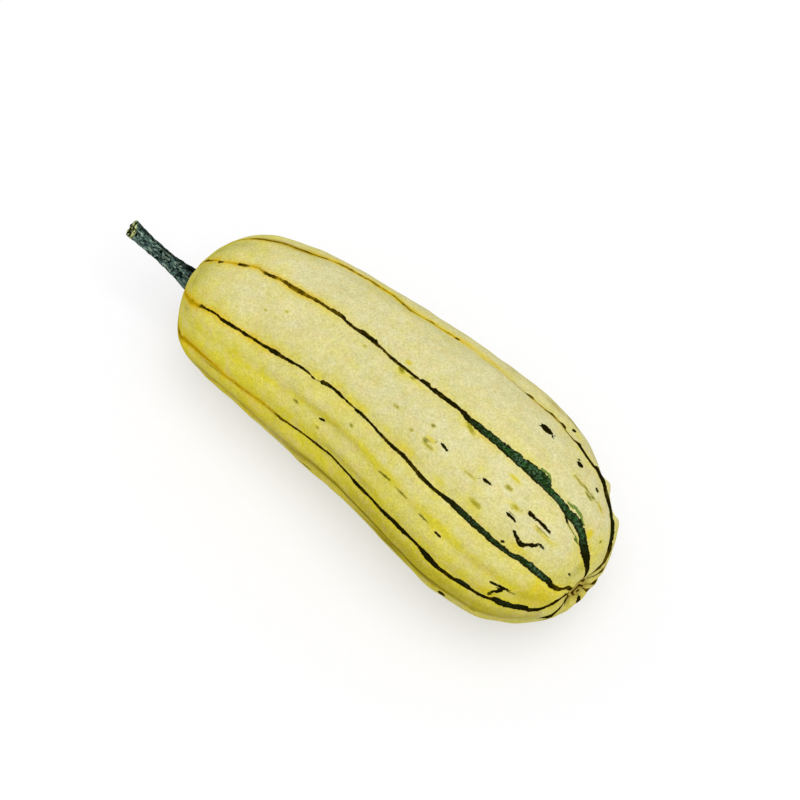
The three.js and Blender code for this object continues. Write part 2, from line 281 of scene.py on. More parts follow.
# Marks away from the stripes: place along and round, length and width in tenths of a millimetre,
# slant in degrees towards the next furrow, and tone in tenths (-10 leaf green, 0 dark, 10 olive,
# 20 yellow).
FLECK_UNITS = (PER_LENGTH, PER_RIB, PER_MM, PER_MM, 1, 10)
FLECKS = (
    # green fringe of the widest stripe
    (832, 1011.5, 45, 9, 8, -10), (847, 1010, 20, 8, -20, -10), (915, 1011.5, 60, 10, 0, -10),
    (930, 1009, 30, 10, 0, -10), (898, 1008, 30, 8, 5, -10), (943, 984, 30, 7, 0, -8),
    (952, 981, 34, 7, 8, -5),
    # between the first furrow and the second
    (777, 1057.8, 50, 31, 0, 0), (786, 1060, 24, 19, 0, 0), (790, 1054, 22, 11, 0, 0),
    (851, 1061, 26, 30, 0, 0), (845.5, 1066.5, 22, 10, -50, 0), (900, 1061.5, 18, 19, 0, 3),
    (892, 1042, 50, 8, 3, 8), (903, 1038, 30, 12, 0, 9), (928, 1050, 36, 10, 0, 15),
    (943, 1080, 18, 16, 0, 8), (873, 1039, 36, 9, 0, 12), (908, 1045, 20, 9, 0, 8),
    (953, 1012, 28, 28, 0, 20), (789, 1119, 14, 30, 0, 0), (770, 1150, 60, 16, 0, 7),
    (973, 1036, 10, 14, 0, 10), (534, 1006, 24, 14, 0, 18),
    # under the first furrow
    (535, 991, 36, 16, -25, 12), (564, 991, 18, 8, 0, 10), (707, 987.5, 48, 17, -27, 13.5),
    (912, 989, 30, 10, -30, 1), (928, 985, 46, 6, -6, 7), (443, 986, 12, 8, 0, 13),
    (270, 960, 10, 8, 0, 14), (232, 945, 9, 8, 0, 14),
    # between the last furrow and the first
    (661, 957, 15, 11, 0, 9), (585, 945, 24, 9, 0, 13), (700, 946, 34, 10, -6, 0),
    (669, 936, 16, 9, 0, 8), (680, 933, 38, 11, 6, 13), (676, 942, 30, 8, 0, 19),
    (637, 934, 13, 8, 0, 12), (790, 949.5, 34, 13, 0, 0), (764, 941.5, 34, 6, 4, 13),
    (800, 920, 42, 17, 0, 13.5), (815, 976, 36, 10, 0, 18), (821, 962, 26, 16, 0, 13),
    (872, 956.8, 22, 17, 0, 0), (877, 956.5, 30, 12, 0, 0), (899, 957.5, 80, 12.5, 0, 0),
    (856, 938, 44, 10, -2, 0), (850, 950, 28, 14, 0, 14.5), (917, 948, 40, 8, 0, 17),
    (898, 948.5, 24, 8, 0, 15), (877, 926.5, 20, 10, -20, 0), (886, 923.5, 26, 12, -10, 0),
    (895, 920.5, 26, 16, 0, 0), (903, 924.5, 16, 12, 30, 0), (909, 929, 18, 16, 30, 0),
    (915, 932, 16, 10, 40, 0), (918, 936.5, 20, 9, 20, 0), (925, 935.5, 18, 8, 0, 3),
    (983, 935, 18, 8, 0, 3), (872, 907, 16, 10, 50, 1),
    # second strand beside the last furrow
    (702, 893.5, 40, 7, 0, 4), (730, 893, 20, 5, 0, 9),
    # between the two furrows of the near flank
    (385, 848.5, 26, 9, 0, 8), (460, 854, 30, 11, 10, 0), (457, 837, 15, 10, 0, 11),
    (528, 881, 17, 11, 0, 11), (645, 858, 54, 9, 3, 6), (690, 856, 54, 8, 0, 8),
    (750, 851, 40, 8, 0, 6), (785, 848, 26, 11, 0, 2), (907, 843, 36, 11, 0, 1),
    (922, 844.5, 44, 17, 0, 0), (936, 843, 36, 6, 0, 7), (919.5, 833.5, 52, 16, 49, 0),
    (910.5, 818, 38, 14, 75, 4),
    # low on the near flank
    (838, 739, 34, 28, 0, 2), (700, 745, 20, 9, 0, 6), (900, 750, 26, 10, 0, 8),
)
# Soft clouds, one list for each colour: place along and round, length and width in millimetres,
# and strength in hundredths.
CLOUD_UNITS = (PER_LENGTH, PER_RIB, 1, 1, PERCENT)
CLOUDS = (
    (  # yellow
        (800, 1120, 7, 3, 70), (972, 860, 24, 12, 90), (400, 906, 8, 3, 80), (460, 915, 10, 4, 50),
        (520, 912, 12, 3.5, 80), (590, 912, 8, 3, 50), (650, 910, 14, 3, 70), (675, 935, 8, 3, 20),
        (704, 988, 8, 3, 70), (900, 914, 10, 3, 90), (730, 909, 6, 2.4, 50), (800, 915, 6, 3, 50),
        (815, 976, 5, 2, 50), (770, 955, 5, 3, 30), (845, 950, 6, 2, 50), (930, 950, 6, 2.4, 50),
        (585, 989, 8, 2, 60), (540, 988, 6, 2.4, 60), (450, 954, 6, 3, 35), (330, 910, 10, 4, 35),
        (200, 910, 8, 3, 40), (240, 890, 8, 3, 40), (160, 910, 6, 3, 50), (930, 1045, 8, 5, 15),
        (890, 1040, 8, 4, 15), (953, 1012, 5, 4, 50), (970, 870, 8, 6, 90), (950, 895, 6, 3, 60),
        (980, 1040, 8, 6, 50),
    ),
    (  # orange
        (980, 850, 14, 8, 60), (968, 830, 12, 5, 45), (530, 910, 5, 2.4, 30),
        (650, 908, 8, 2.4, 40), (735, 990, 6, 3, 90), (895, 913, 6, 2, 45), (440, 1095, 12, 4, 70),
        (500, 1104, 12, 3, 60), (565, 1108, 18, 3.4, 90), (610, 1105, 12, 3, 60),
        (480, 893, 6, 3, 30), (965, 875, 7, 4, 70), (903, 818, 10, 5, 60), (85, 797, 8, 4, 60),
        (160, 733, 24, 4, 50), (60, 910, 4, 3, 30), (100, 820, 16, 4, 80), (170, 810, 18, 4, 50),
        (100, 930, 6, 5, 25), (260, 1110, 18, 4, 40), (930, 1052, 7, 4, 50), (985, 890, 6, 4, 50),
        (140, 785, 24, 5, 50), (240, 750, 70, 9, 50), (400, 745, 60, 7, 50), (300, 785, 30, 4, 30),
    ),
    (  # olive
        (735, 1130, 8, 4, 35), (645, 1125, 6, 5, 20), (52, 790, 5, 3, 50), (50, 940, 6, 8, 25),
        (60, 875, 5, 3, 30), (55, 1035, 8, 8, 10), (100, 1045, 10, 5, 14), (55, 975, 10, 8, 14),
        (130, 1080, 22, 4, 20), (50, 1040, 6, 5, 20), (40, 980, 5, 6, 16), (955, 845, 12, 5, 30),
        (985, 960, 4, 8, 30), (900, 860, 30, 5, 14), (880, 780, 40, 4, 12), (680, 780, 40, 4, 8),
        (985, 1130, 8, 5, 30), (470, 862, 40, 3, 30),
    ),
    (  # green
        (60, 1045, 18, 13, 22), (55, 962, 14, 11, 16), (988, 950, 5, 12, 22), (990, 1050, 4, 8, 12),
        (840, 1155, 60, 7, 14), (955, 1130, 14, 9, 10), (985, 840, 6, 5, 20), (975, 740, 12, 6, 25),
        (985, 640, 10, 8, 30), (985, 550, 8, 6, 30), (400, 1080, 50, 6, 12), (630, 1012, 20, 4, 10),
        (520, 960, 30, 8, 5),
    ),
)
# How yellow the ground is, and how much olive painted shade it gets low on the flanks: (place,
# amount) round the fruit and along it.
ROUND_UNITS = (PER_RIB, PERCENT)
ALONG_UNITS = (PER_LENGTH, PERCENT)
YELLOW_ROUND = (
    (0, 8), (50, 0), (100, 10), (160, 12), (200, 30), (300, 30), (400, 50), (500, 80), (600, 85),
    (700, 70), (740, 80), (760, 95), (790, 95), (820, 95), (840, 67), (860, 68), (875, 46),
    (910, 36), (940, 15), (970, 8),
)
OLIVE_SHADE_ROUND = (
    (0, 0), (260, 0), (320, 6), (660, 8), (740, 10), (770, 4), (790, 0), (830, 0),
)
# Soft lines along the ribs: place along and round, width in tenths of a millimetre, strength.
LINE_UNITS = (PER_LENGTH, PER_RIB, PER_MM, PERCENT)
# The olive lines are painted shade along the creases of the ribs, mostly low on the near flank.
OLIVE_SHADE_LINES = (
    (
        (80, 742, 30, 0), (110, 738, 34, 40), (200, 734, 34, 40), (260, 737, 36, 40),
        (320, 742, 42, 35), (400, 742, 44, 50), (480, 755, 44, 80), (560, 761, 44, 90),
        (700, 758, 48, 100), (780, 754, 50, 100), (860, 760, 54, 70), (930, 760, 54, 50),
        (970, 765, 40, 40), (990, 770, 30, 0),
    ),
    (
        (500, 775, 90, 0), (600, 775, 90, 35), (840, 772, 90, 40), (950, 770, 80, 35),
        (985, 770, 60, 30),
    ),
    (
        (540, 742, 50, 0), (620, 742, 50, 40), (700, 742, 50, 90), (750, 742, 50, 30),
        (780, 742, 40, 0),
    ),
    (
        (120, 800, 16, 0), (160, 798, 14, 60), (340, 798, 14, 60), (380, 800, 14, 0),
    ),
    (
        (450, 820, 30, 0), (500, 820, 30, 30), (600, 820, 30, 30), (660, 820, 30, 0),
    ),
    (
        (100, 1080, 40, 0), (140, 1080, 40, 40), (200, 1084, 40, 60), (240, 1090, 40, 0),
    ),
)
YELLOW_LINES = (
    (
        (200, 848, 24, 0), (250, 848, 26, 80), (350, 852, 28, 80), (420, 858, 30, 90),
        (520, 866, 32, 90), (620, 864, 32, 100), (720, 858, 34, 100), (840, 858, 36, 100),
        (950, 854, 36, 100),
    ),
    (
        (300, 1112, 50, 0), (360, 1108, 50, 60), (440, 1093, 50, 60), (500, 1103, 40, 60),
        (560, 1108, 40, 70), (620, 1105, 40, 30), (680, 1100, 30, 0),
    ),
)
YELLOW_ALONG = (
    (0, 80), (60, 70), (120, 36), (200, 12), (300, 3), (800, 0), (940, 0), (965, 30), (980, 35),
    (1000, 40),
)

# The flecks of the far side are seeded.
HIDDEN_FLECKS = 46
HIDDEN_FLECKS_SEED = 5

# Colours of the markings that aren't settings, as they look on a screen.
BLUSH = (228, 207, 142)
GROUND_SPOT = (222, 196, 120)
OLIVE_FLECK = (124, 120, 10)
YELLOW_FLECK = (222, 204, 40)
GREEN_FLECK = (96, 128, 44)
STRIPE_CORE = (156, 126, 4)
STRIPE_MIDDLE = (98, 78, 4)
STRIPE_FRESH = (54, 98, 46)

# ---- the stage ----------------------------------------------------------------------------------

# Lengths are metres, but the sensor's width is in millimetres and the picture's shift in shares.
FLOOR_REACH = 4.0
KEY_DIRECTION = (0.25, -0.08, 1.0)
LOOK_AT_HEIGHT = 0.0367
SENSOR_WIDTH = 36
PICTURE_SHIFT = (0.0236, 0.0332)
CLIP_RANGE = (0.01, 50)


# ---- settings that a user may change ------------------------------------------------------------


def linear(red, green, blue):
    """The light values of a colour given as it looks on a screen, from 0 to 255."""
    shares = np.array([red, green, blue]) / 255
    low = shares / 12.92
    high = ((shares + 0.055) / 1.055) ** 2.4
    return tuple(float(v) for v in np.where(shares <= 0.04045, low, high))


def colour(name, description, *screen):
    """A colour setting whose default is given as it looks on a screen."""
    return FloatVectorProperty(
        name=name, description=description, subtype="COLOR", size=3, min=0, max=1,
        default=linear(*screen))


def length(name, description, millimetres):
    """A length setting whose default is given in millimetres."""
    return FloatProperty(
        name=name, description=description, subtype="DISTANCE", unit="LENGTH", precision=5,
        min=0, default=millimetres * MM)


def share(name, description, default, top=1):
    """A plain factor."""
    return FloatProperty(name=name, description=description, min=0, max=top, default=default)


def angle(name, description, degrees, **limits):
    """An angle setting whose default is given in degrees."""
    return FloatProperty(
        name=name, description=description, subtype="ANGLE", unit="ROTATION",
        default=math.radians(degrees), **limits)


class FruitSettings(PropertyGroup):
    rib_relief: share("Rib relief", "Depth of the furrows, compared with the solid's", 1.0, 2)
    mid_rib_dent: length("Mid-rib dent", "Depth of the groove along each rib", 0.55)
    wave_height: share("Waves", "Height of the slow waves of the skin", 1.0, 3)
    swells: share("Swells", "Height of the hand-set swells and hollows", 1.0, 3)
    stripe_width: share("Stripe width", "Width of the stripes against the listed widths", 1.0, 3)
    ragged_edge: length("Ragged edge", "How far the edges of the stripes wander", 0.42)
    grain_height: length("Grain", "Height of the fine grain of the rind", 0.05)
    cream: colour("Cream", "Ground colour of the crests", 222, 216, 161)
    yellow: colour("Yellow", "Ground colour of the flanks", 223, 211, 62)
    orange: colour("Orange", "Beside the stripes at the stem end", 226, 190, 22)
    olive: colour("Olive", "Shaded lines and smears", 116, 97, 0)
    green: colour("Green", "Patches near both ends", 138, 160, 56)
    stripe_brown: colour("Stripe brown", "Halo-like stripes near the stem", 216, 180, 16)
    stripe_dark: colour("Stripe dark", "Middle of the stripes' length", 28, 24, 1)
    stripe_green: colour("Stripe green", "Wide stripes near the blossom end", 28, 46, 20)
    stripe_light: colour("Stripe light", "Mottling inside the wide stripes", 86, 118, 86)
    scar_brown: colour("Scar brown", "Dark rings of the blossom scar", 74, 48, 2)
    scar_tan: colour("Scar tan", "Pale ridges of the blossom scar", 192, 174, 78)


class StemSettings(PropertyGroup):
    ridge_height: share("Ridges", "Height of the ridges, compared with the solid's", 1.0, 2)
    bark_relief: length("Bark relief", "Height of the grooves and knots of the bark", 0.28)
    seat_depth: length("Seat depth", "How far the flared foot reaches into the fruit", 0.6)
    dark: colour("Dark bark", "Hollows and shaded bark", 4, 20, 20)
    grey: colour("Grey bark", "Most of the bark", 87, 114, 107)
    pale: colour("Pale bark", "Crests and patches", 176, 196, 172)
    cut: colour("Cut end", "Flesh of the cut end", 190, 198, 132)
    blotch: colour("Blotches", "Dark blotches on the cut end", 22, 32, 12)


class StageSettings(PropertyGroup):
    key_strength: share("Key light", "Strength of the large lamp", 1.55, 20)
    key_spread: angle("Key spread", "Apparent size of the large lamp", 50, min=0, max=math.pi)
    sky_strength: share("Fill light", "Strength of the even light from all sides", 0.54, 5)
    floor: colour("Floor", "Colour of the floor as it lights the object", 236, 236, 234)
    shadow_share: share("Shadow", "How dark the floor's shadow is", 0.5)
    azimuth: angle("Azimuth", "Where the camera stands round the object", 43.05)
    elevation: angle("Elevation", "How high the camera stands", 60.7)
    distance: length("Distance", "From the camera to the middle of the fruit", 1100)
    lens: FloatProperty(
        name="Lens", description="Focal length", subtype="DISTANCE_CAMERA", default=136.5)


# ---- small formulas -----------------------------------------------------------------------------


def bezier(controls, t):
    """Value at t of the Bezier curve with these control values, by repeated halving of the list."""
    row = [np.asarray(c, float) for c in controls]
    while len(row) > 1:
        row = [a + (b - a) * t for a, b in zip(row, row[1:])]
    return row[0] + 0 * t


def bell(distance, width):
    """1 at distance 0, falling to about a third at one width: e to the minus square."""
    return np.exp(-((distance / width) ** 2))


def smoothstep(value, low, high):
    """0 below low, 1 above high, and a smooth cubic between them."""
    t = np.clip((value - low) / (high - low), 0, 1)
    return t * t * (3 - 2 * t)


def dish_shape(distance, floor, rim):
    """1 on the floor of a dish, falling smoothly to 0 at its rim."""
    return 1 - smoothstep(distance, floor, rim)


def valley(across):
    """1 at the furrows and 0 at the middle of the rib: half a cosine wave."""
    return 0.5 + 0.5 * np.cos(2 * np.pi * across)


def unit(vectors):
    """The same directions at length 1."""
    return vectors / np.linalg.norm(vectors, axis=-1, keepdims=True)


def cross_frame(ahead):
    """Directions across a line heading ahead: level to its left, and rising."""
    side = unit(np.cross((0.0, 0.0, 1.0), ahead))
    return side, unit(np.cross(ahead, side))


def ribs_from(rib, place):
    """The shorter way round the fruit from a place to each rib value, with its sign."""
    return (rib - place + RIBS / 2) % RIBS - RIBS / 2


def patch(travelled, along, rib, rib_width, where, size):
    """1 in the middle of an oval patch and a third at its edge: a bell over the distance from its
    middle, measured in its own half length and half width."""
    x = (travelled - np.interp(where[0], along[:, 0], travelled[:, 0])) / (size[0] / 2)
    y = ribs_from(rib, where[1]) * rib_width / (size[1] / 2)
    return bell(np.hypot(x, y), 1)


def joined(*amounts):
    """What tints laid over one another cover: one less the product of what each leaves."""
    left = 1
    for amount in amounts:
        left = left * (1 - amount)
    return 1 - left


# ---- the fruit's skin ---------------------------------------------------------------------------


def core_point(along):
    """The core line: straight along x, bent towards y, and one girth above the belly line."""
    x = (along - 0.5) * FRUIT_LENGTH
    z = bezier(GIRTH, along) + END_RISE * (along - LOWEST_PLACE) ** 2
    return np.stack([x, bezier(SIDEWAYS_BEND, along), z], -1)


def core_frame(along):
    """Point of the core line, its direction by a small difference, and the directions across it."""
    step = 1e-4
    ahead = unit(core_point(along + step) - core_point(along - step))
    side, rise = cross_frame(ahead)
    return core_point(along), ahead, side, rise


def shoulder(share_of_length, fullness):
    """A superellipse: share of girth and share of length left, to a power, add up to one."""
    swell = np.sin(np.linspace(0, np.pi / 2, 3000))
    along = share_of_length * (1 - (1 - swell**fullness) ** (1 / fullness))
    return along, swell


def ring_stations(count):
    """Rings at even steps along the outline from pole to pole, in half steps near both poles.
    Gives each ring's share along, share of the full girth, and distance travelled."""
    start, start_swell = shoulder(*STEM_SHOULDER)
    end, end_swell = shoulder(*BLOSSOM_SHOULDER)
    middle = np.linspace(start[-1], 1 - end[-1], 900)[1:-1]
    along = np.concatenate([start, middle, (1 - end)[::-1]])
    swell = np.concatenate([start_swell, np.ones(len(middle)), end_swell[::-1]])
    radius = bezier(GIRTH, along) * swell
    steps = np.hypot(np.diff(along * FRUIT_LENGTH), np.diff(radius))
    travelled = np.concatenate([[0], np.cumsum(steps)])
    crowding = 1 + 1.2 * bell(radius[1:], 9)
    count_so_far = np.concatenate([[0], np.cumsum(steps * crowding)])
    wanted = np.linspace(0, count_so_far[-1], count + 2)[1:-1]
    pick = lambda values: np.interp(wanted, count_so_far, values)
    return pick(along), pick(swell), pick(travelled)


def furrow_bearings(rib, along):
    """Bearing in degrees at a place counted in ribs, evenly spread between the two furrows beside
    it. Gives the bearing, the share across the rib, and the angle the rib takes up."""
    curves = [bezier(c, along) for c in FURROW_BEARINGS]
    curves = np.stack(curves + [curves[0] + 360])
    number = np.floor(rib).astype(int) % RIBS
    across = rib - np.floor(rib)
    first = np.take_along_axis(curves, number[None], 0)[0]
    second = np.take_along_axis(curves, number[None] + 1, 0)[0]
    return first + (second - first) * across, across, second - first


def skin_relief(settings, along, rib, across, rib_angle, bearing, distance):
    """How far the skin lies below the tops of the ribs: a broad valley and a narrow crease at each
    furrow and a dent along the middle of each rib, less on the belly, fading towards the poles."""
    rib_width = np.radians(rib_angle) * distance
    to_furrow = np.minimum(across, 1 - across) * rib_width
    to_mid_rib = np.abs(across - 0.5) * rib_width
    furrow = (1 - CREASE_SHARE) * valley(across) + CREASE_SHARE * bell(to_furrow, CREASE_WIDTH)
    strength = np.array(MID_RIB_STRENGTH)[np.floor(rib).astype(int) % RIBS]
    dent = settings.mid_rib_dent / MM * strength * bell(to_mid_rib, MID_RIB_DENT_WIDTH)
    belly = 1 - BELLY_SMOOTHING * bell(bearing - 180, BELLY_SPREAD)
    fade = smoothstep(distance, RELIEF_STARTS, RELIEF_FULL)
    return settings.rib_relief * (bezier(FURROW_DEPTH, along) * furrow + dent) * belly * fade


def skin_waves(along, rib):
    """Slow rises and falls: sine waves, a whole number of which goes round the fruit."""
    return sum(
        height * np.sin(2 * np.pi * (by_length * along + by_turn * rib / RIBS) + phase)
        for by_length, by_turn, height, phase in SKIN_WAVES)


def skin_swells(settings, along, travelled, rib, distance):
    """Listed rises and falls, each a patch. Rib widths come from the distance off the core."""
    rib_width = 2 * np.pi * distance / RIBS
    total = 0 * along
    for *where, long, wide, height in np.array(SWELLS) / SWELL_UNITS:
        total = total + height * patch(travelled, along, rib, rib_width, where, (long, wide))
    return settings.swells * total


def end_push(along, distance):
    """How far the skin is pushed along the core line by the dishes and the raised scar."""
    stem_end = STEM_DISH[0] * dish_shape(distance, *STEM_DISH[1:])
    scar = BLOSSOM_SCAR[0] * dish_shape(distance, *BLOSSOM_SCAR[1:])
    blossom_end = scar - BLOSSOM_DISH[0] * dish_shape(distance, *BLOSSOM_DISH[1:])
    return np.where(along < 0.5, stem_end, blossom_end)


def scar_reach(distance, bearing):
    """Distance from the scar's middle, divided by a wobble that makes its rings uneven."""
    angle = np.radians(bearing)
    return distance / (1.14 + 0.16 * np.cos(2 * angle + 0.6) + 0.1 * np.sin(5 * angle + 1))


def scar_ridges(along, distance, bearing):
    """Corky ridges of the scar: an outer ring, a groove inside it, and a smaller inner ring."""
    angle = np.radians(bearing)
    reach = scar_reach(distance, bearing)
    ring = 0.6 * bell(reach - 3.3, 0.6) * (1 + 0.4 * np.sin(4 * angle + 2))
    inner = 0.5 * bell(reach - 1.4, 0.5) * (1 + 0.4 * np.sin(3 * angle))
    groove = -0.45 * bell(reach - 2.35, 0.4)
    return np.where(along < 0.5, 0, ring + inner + groove)


def skin_points(settings, along, swell, travelled, rib, finish):
    """Points of the skin. Each lies off the core line by the girth less the relief, at its
    bearing. finish is 1 with the waves, swells, pucker and scar, and 0 for the plain solid."""
    centre, ahead, side, rise = core_frame(along)
    distance = bezier(GIRTH, along) * swell
    bearing, across, rib_angle = furrow_bearings(rib, along)
    relief = skin_relief(settings, along, rib, across, rib_angle, bearing, distance)
    waves = settings.wave_height * skin_waves(along, rib) * smoothstep(distance, *WAVES_FADE_IN)
    swells = skin_swells(settings, along, travelled, rib, distance)
    swells = swells * smoothstep(distance, *SWELLS_FADE_IN)
    pucker = np.where(along > 0.5, dish_shape(distance, *PUCKER_REACH), 0)
    depth, middle, spread = PUCKER_FOLDS
    folds = np.where(along > 0.5, depth * bell(distance - middle, spread), 0)
    folds = folds * valley(across) ** 2
    radius = distance - relief + finish * (waves + swells) - finish * folds
    push = scar_ridges(along, distance, bearing) + PUCKER_RISE * pucker - 0.7 * folds
    push = end_push(along, distance) + finish * push
    turn = np.radians(bearing)[..., None]
    out = rise * np.cos(turn) + side * np.sin(turn)
    drop = rise * (finish * PUCKER_DROP * pucker)[..., None]
    return centre + radius[..., None] * out + ahead * push[..., None] - drop


def set_on_ground(points):
    """Lowers the points by the ground spot's cut and flattens whatever would go below the ground,
    by a smooth largest-of z and 0."""
    lowered = points.copy()
    z = points[..., 2] - GROUND_SPOT_CUT
    lowered[..., 2] = (z + np.sqrt(z * z + 0.04)) / 2
    return lowered


# ---- the markings as numbers on the skin --------------------------------------------------------


def hidden_stripe(random):
    """Knots for a stripe of the far side: it widens unevenly towards the blossom end."""
    count = HIDDEN_KNOTS
    along = np.sort(random.uniform(0.05, 0.97, count))
    width = (0.7 + 2.6 * along**5) * random.uniform(0.5, 1.6, count)
    offset = random.uniform(-0.04, 0.04, count)
    tone = np.clip(0.3 + 1.8 * along + random.uniform(-0.2, 0.2, count), 0, 2)
    knots = np.stack([along, width, offset, tone], 1)
    return np.vstack([[0, 0, 0, 0.3], knots, [0.98, 3.2, 0, 1.2], [0.993, 2.4, 0, 1], [1, 1, 0, 1]])


def stripe_knots():
    """The knots of every stripe, listed on the near side and seeded on the far side."""
    random = np.random.default_rng(HIDDEN_STRIPES_SEED)
    knots = {number: np.array(rows) / KNOT_UNITS for number, rows in STRIPES.items()}
    for number in HIDDEN_STRIPES:
        rows = hidden_stripe(random)
        tail = np.array(TAILS[number]) / KNOT_UNITS
        knots[number] = np.vstack([rows[rows[:, 0] < tail[0, 0]], tail])
    return knots


def stripe_marks(settings, along, rib, rib_width):
    """For each vertex, the nearest stripe: distance across it with its sign, the same without
    sign, half its width there, and its tone. Distances are in millimetres."""
    best = np.full(rib.shape, np.inf)
    found = np.zeros((3,) + rib.shape)
    for number, rows in stripe_knots().items():
        width, offset, tone = (np.interp(along, rows[:, 0], rows[:, i]) for i in (1, 2, 3))
        distance = ribs_from(rib, number + offset) * rib_width
        nearer = np.abs(distance) < best
        best = np.where(nearer, np.abs(distance), best)
        found = np.where(nearer, (distance, width / 2, tone), found)
    return found[0], best, found[1] * settings.stripe_width, found[2]


def all_flecks():
    """The listed flecks and the seeded ones of the far side, most near the blossom end."""
    random = np.random.default_rng(HIDDEN_FLECKS_SEED)
    count = HIDDEN_FLECKS
    along = 1 - 0.55 * random.uniform(0.05, 1, count) ** 1.5
    rib = random.uniform(1.3, 6.8, count)
    size = np.exp(random.normal(0.7, 0.4, count))
    thin = size * random.uniform(0.2, 0.6, count)
    slant = random.uniform(-25, 25, count)
    tone = random.choice([0, 0, 0.3, 1, 1.4, 1.8], count)
    seeded = np.stack([along, rib, size, thin, slant, tone], 1)
    return np.vstack([np.array(FLECKS) / FLECK_UNITS, seeded])


def fleck_marks(travelled, along, rib, rib_width):
    """For each vertex, the nearest fleck: distances along and across it, distance outside it,
    its half length and half width, and its tone. Distances are in millimetres."""
    best = np.full(rib.shape, np.inf)
    place = np.zeros(rib.shape + (3,))
    size = np.ones(rib.shape + (3,))
    for share_along, place_round, long, wide, slant, tone in all_flecks():
        x = travelled - np.interp(share_along, along[:, 0], travelled[:, 0])
        y = ribs_from(rib, place_round) * rib_width
        cos, sin = math.cos(math.radians(slant)), math.sin(math.radians(slant))
        a, c = x * cos + y * sin, y * cos - x * sin
        past_end = np.maximum(np.abs(a) - long / 2, 0)
        past_side = np.maximum(np.abs(c) - wide / 2, 0)
        beyond = np.hypot(past_end, past_side)
        nearer = beyond < best
        best = np.where(nearer, beyond, best)
        place = np.where(nearer[..., None], np.stack([a, c, beyond], -1), place)
        size[nearer] = (long / 2, wide / 2, tone)
    return place, size


def soft_lines(lines, along, rib, rib_width):
    """How strong the soft lines are at each vertex: a bell over the distance across each line."""
    total = np.zeros(rib.shape)
    for knots in lines:
        share_along, place, wide, strength = (np.array(knots) / LINE_UNITS).T
        away = ribs_from(rib, np.interp(along, share_along, place)) * rib_width
        amount = np.interp(along, share_along, strength, left=0, right=0)
        line = amount * bell(away, np.interp(along, share_along, wide) / 2)
        total = np.maximum(total, line)
    return total


def soft_clouds(clouds, *skin):
    """How strong the clouds of one colour are at each vertex: the strongest of their patches."""
    return np.max([
        strength * patch(*skin, where, (long, wide))
        for *where, long, wide, strength in np.array(clouds) / CLOUD_UNITS], 0)


def ground_tints(travelled, along, rib, distance, rib_width, stripe_gap, stripe_half):
    """How yellow, orange and olive the ground is, from 0 to 1, and how green. Yellow follows the
    rib's place round the fruit and rises at both ends and beside the stripes, and orange lies
    beside the stripes at the stem end. The olive is partly the rind's own olive smears and partly
    painted shade: low on the flanks, along the creases of the ribs and in the furrows of the
    pucker."""
    round_fruit, olive_shade_round = (
        np.interp(rib % RIBS, *(np.array(rows) / ROUND_UNITS).T, period=RIBS)
        for rows in (YELLOW_ROUND, OLIVE_SHADE_ROUND))
    round_fruit = round_fruit * (1 - 0.5 * smoothstep(along, 0.94, 0.985))
    by_end = np.interp(along, *(np.array(YELLOW_ALONG) / ALONG_UNITS).T)
    yellow_line, olive_shade_line = (
        soft_lines(lines, along, rib, rib_width) for lines in (YELLOW_LINES, OLIVE_SHADE_LINES))
    clouds = [soft_clouds(rows, travelled, along, rib, rib_width) for rows in CLOUDS]
    off_stripe = np.maximum(stripe_gap - stripe_half, 0)
    near_stem = 1 - smoothstep(along, 0.2, 0.42)
    in_pucker = np.where(along > 0.5, bell(distance - 6, 4), 0)
    yellow = joined(round_fruit, by_end, 0.3 * bell(off_stripe, 3), yellow_line, clouds[0])
    orange = joined(bell(off_stripe, 1.2) * (0.10 + 0.8 * near_stem), 0.7 * clouds[1])
    # Olive: painted shade in the pucker's furrows, low on the flanks and along the rib creases,
    # joined with the rind's own olive smears.
    furrow_shade = 0.55 * in_pucker * bell(stripe_gap, 2.2)
    olive = joined(olive_shade_round, 0.95 * olive_shade_line, furrow_shade, clouds[2])
    return np.clip(np.stack([yellow, orange, olive], -1), 0, 1), clouds[3]


def place_masks(along, reach, points):
    """1 on the scar and 1 on the ground spot, falling smoothly to 0 off them."""
    scar = np.where(along > 0.5, 1 - smoothstep(reach, 4.3, 5.0), 0)
    return scar, 1 - smoothstep(points[..., 2], 0.2, 2.5)


# ---- making meshes ------------------------------------------------------------------------------


def place_object(name, data):
    """Puts a new object into the scene."""
    made = bpy.data.objects.new(name, data)
    bpy.context.scene.collection.objects.link(made)
    return made


def closed_grid(name, rings, first, last):
    """A closed skin from rings of points, drawn in to one point at both ends. rings has the shape
    rings x columns x 3. Quads join each ring to the next, and fans of triangles close the ends."""
    count, columns = rings.shape[:2]
    points = np.concatenate([[first], rings.reshape(-1, 3), [last]]) * MM
    ring = np.arange(count - 1)[:, None]
    column = np.arange(columns)[None]
    after = (column + 1) % columns
    at = lambda r, c: 1 + r * columns + c
    quads = np.stack(
        [at(ring, column), at(ring + 1, column), at(ring + 1, after), at(ring, after)], -1)
    column, after = column[0], after[0]
    start = np.stack([0 * column, at(0, column), at(0, after)], -1)
    end = np.stack([0 * column + len(points) - 1, at(count - 1, after), at(count - 1, column)], -1)
    corners = np.concatenate([quads.ravel(), start.ravel(), end.ravel()])
    sizes = np.repeat([4, 3], [quads.size // 4, 2 * columns])
    starts = np.cumsum(sizes) - sizes
    mesh = bpy.data.meshes.new(name)
    mesh.vertices.add(len(points))
    mesh.vertices.foreach_set("co", points.astype(np.float32).ravel())
    mesh.loops.add(len(corners))
    mesh.loops.foreach_set("vertex_index", corners.astype(np.int32))
    mesh.polygons.add(len(sizes))
    mesh.polygons.foreach_set("loop_start", starts.astype(np.int32))
    mesh.update(calc_edges=True)
    mesh.shade_smooth()
    return place_object(name, mesh)


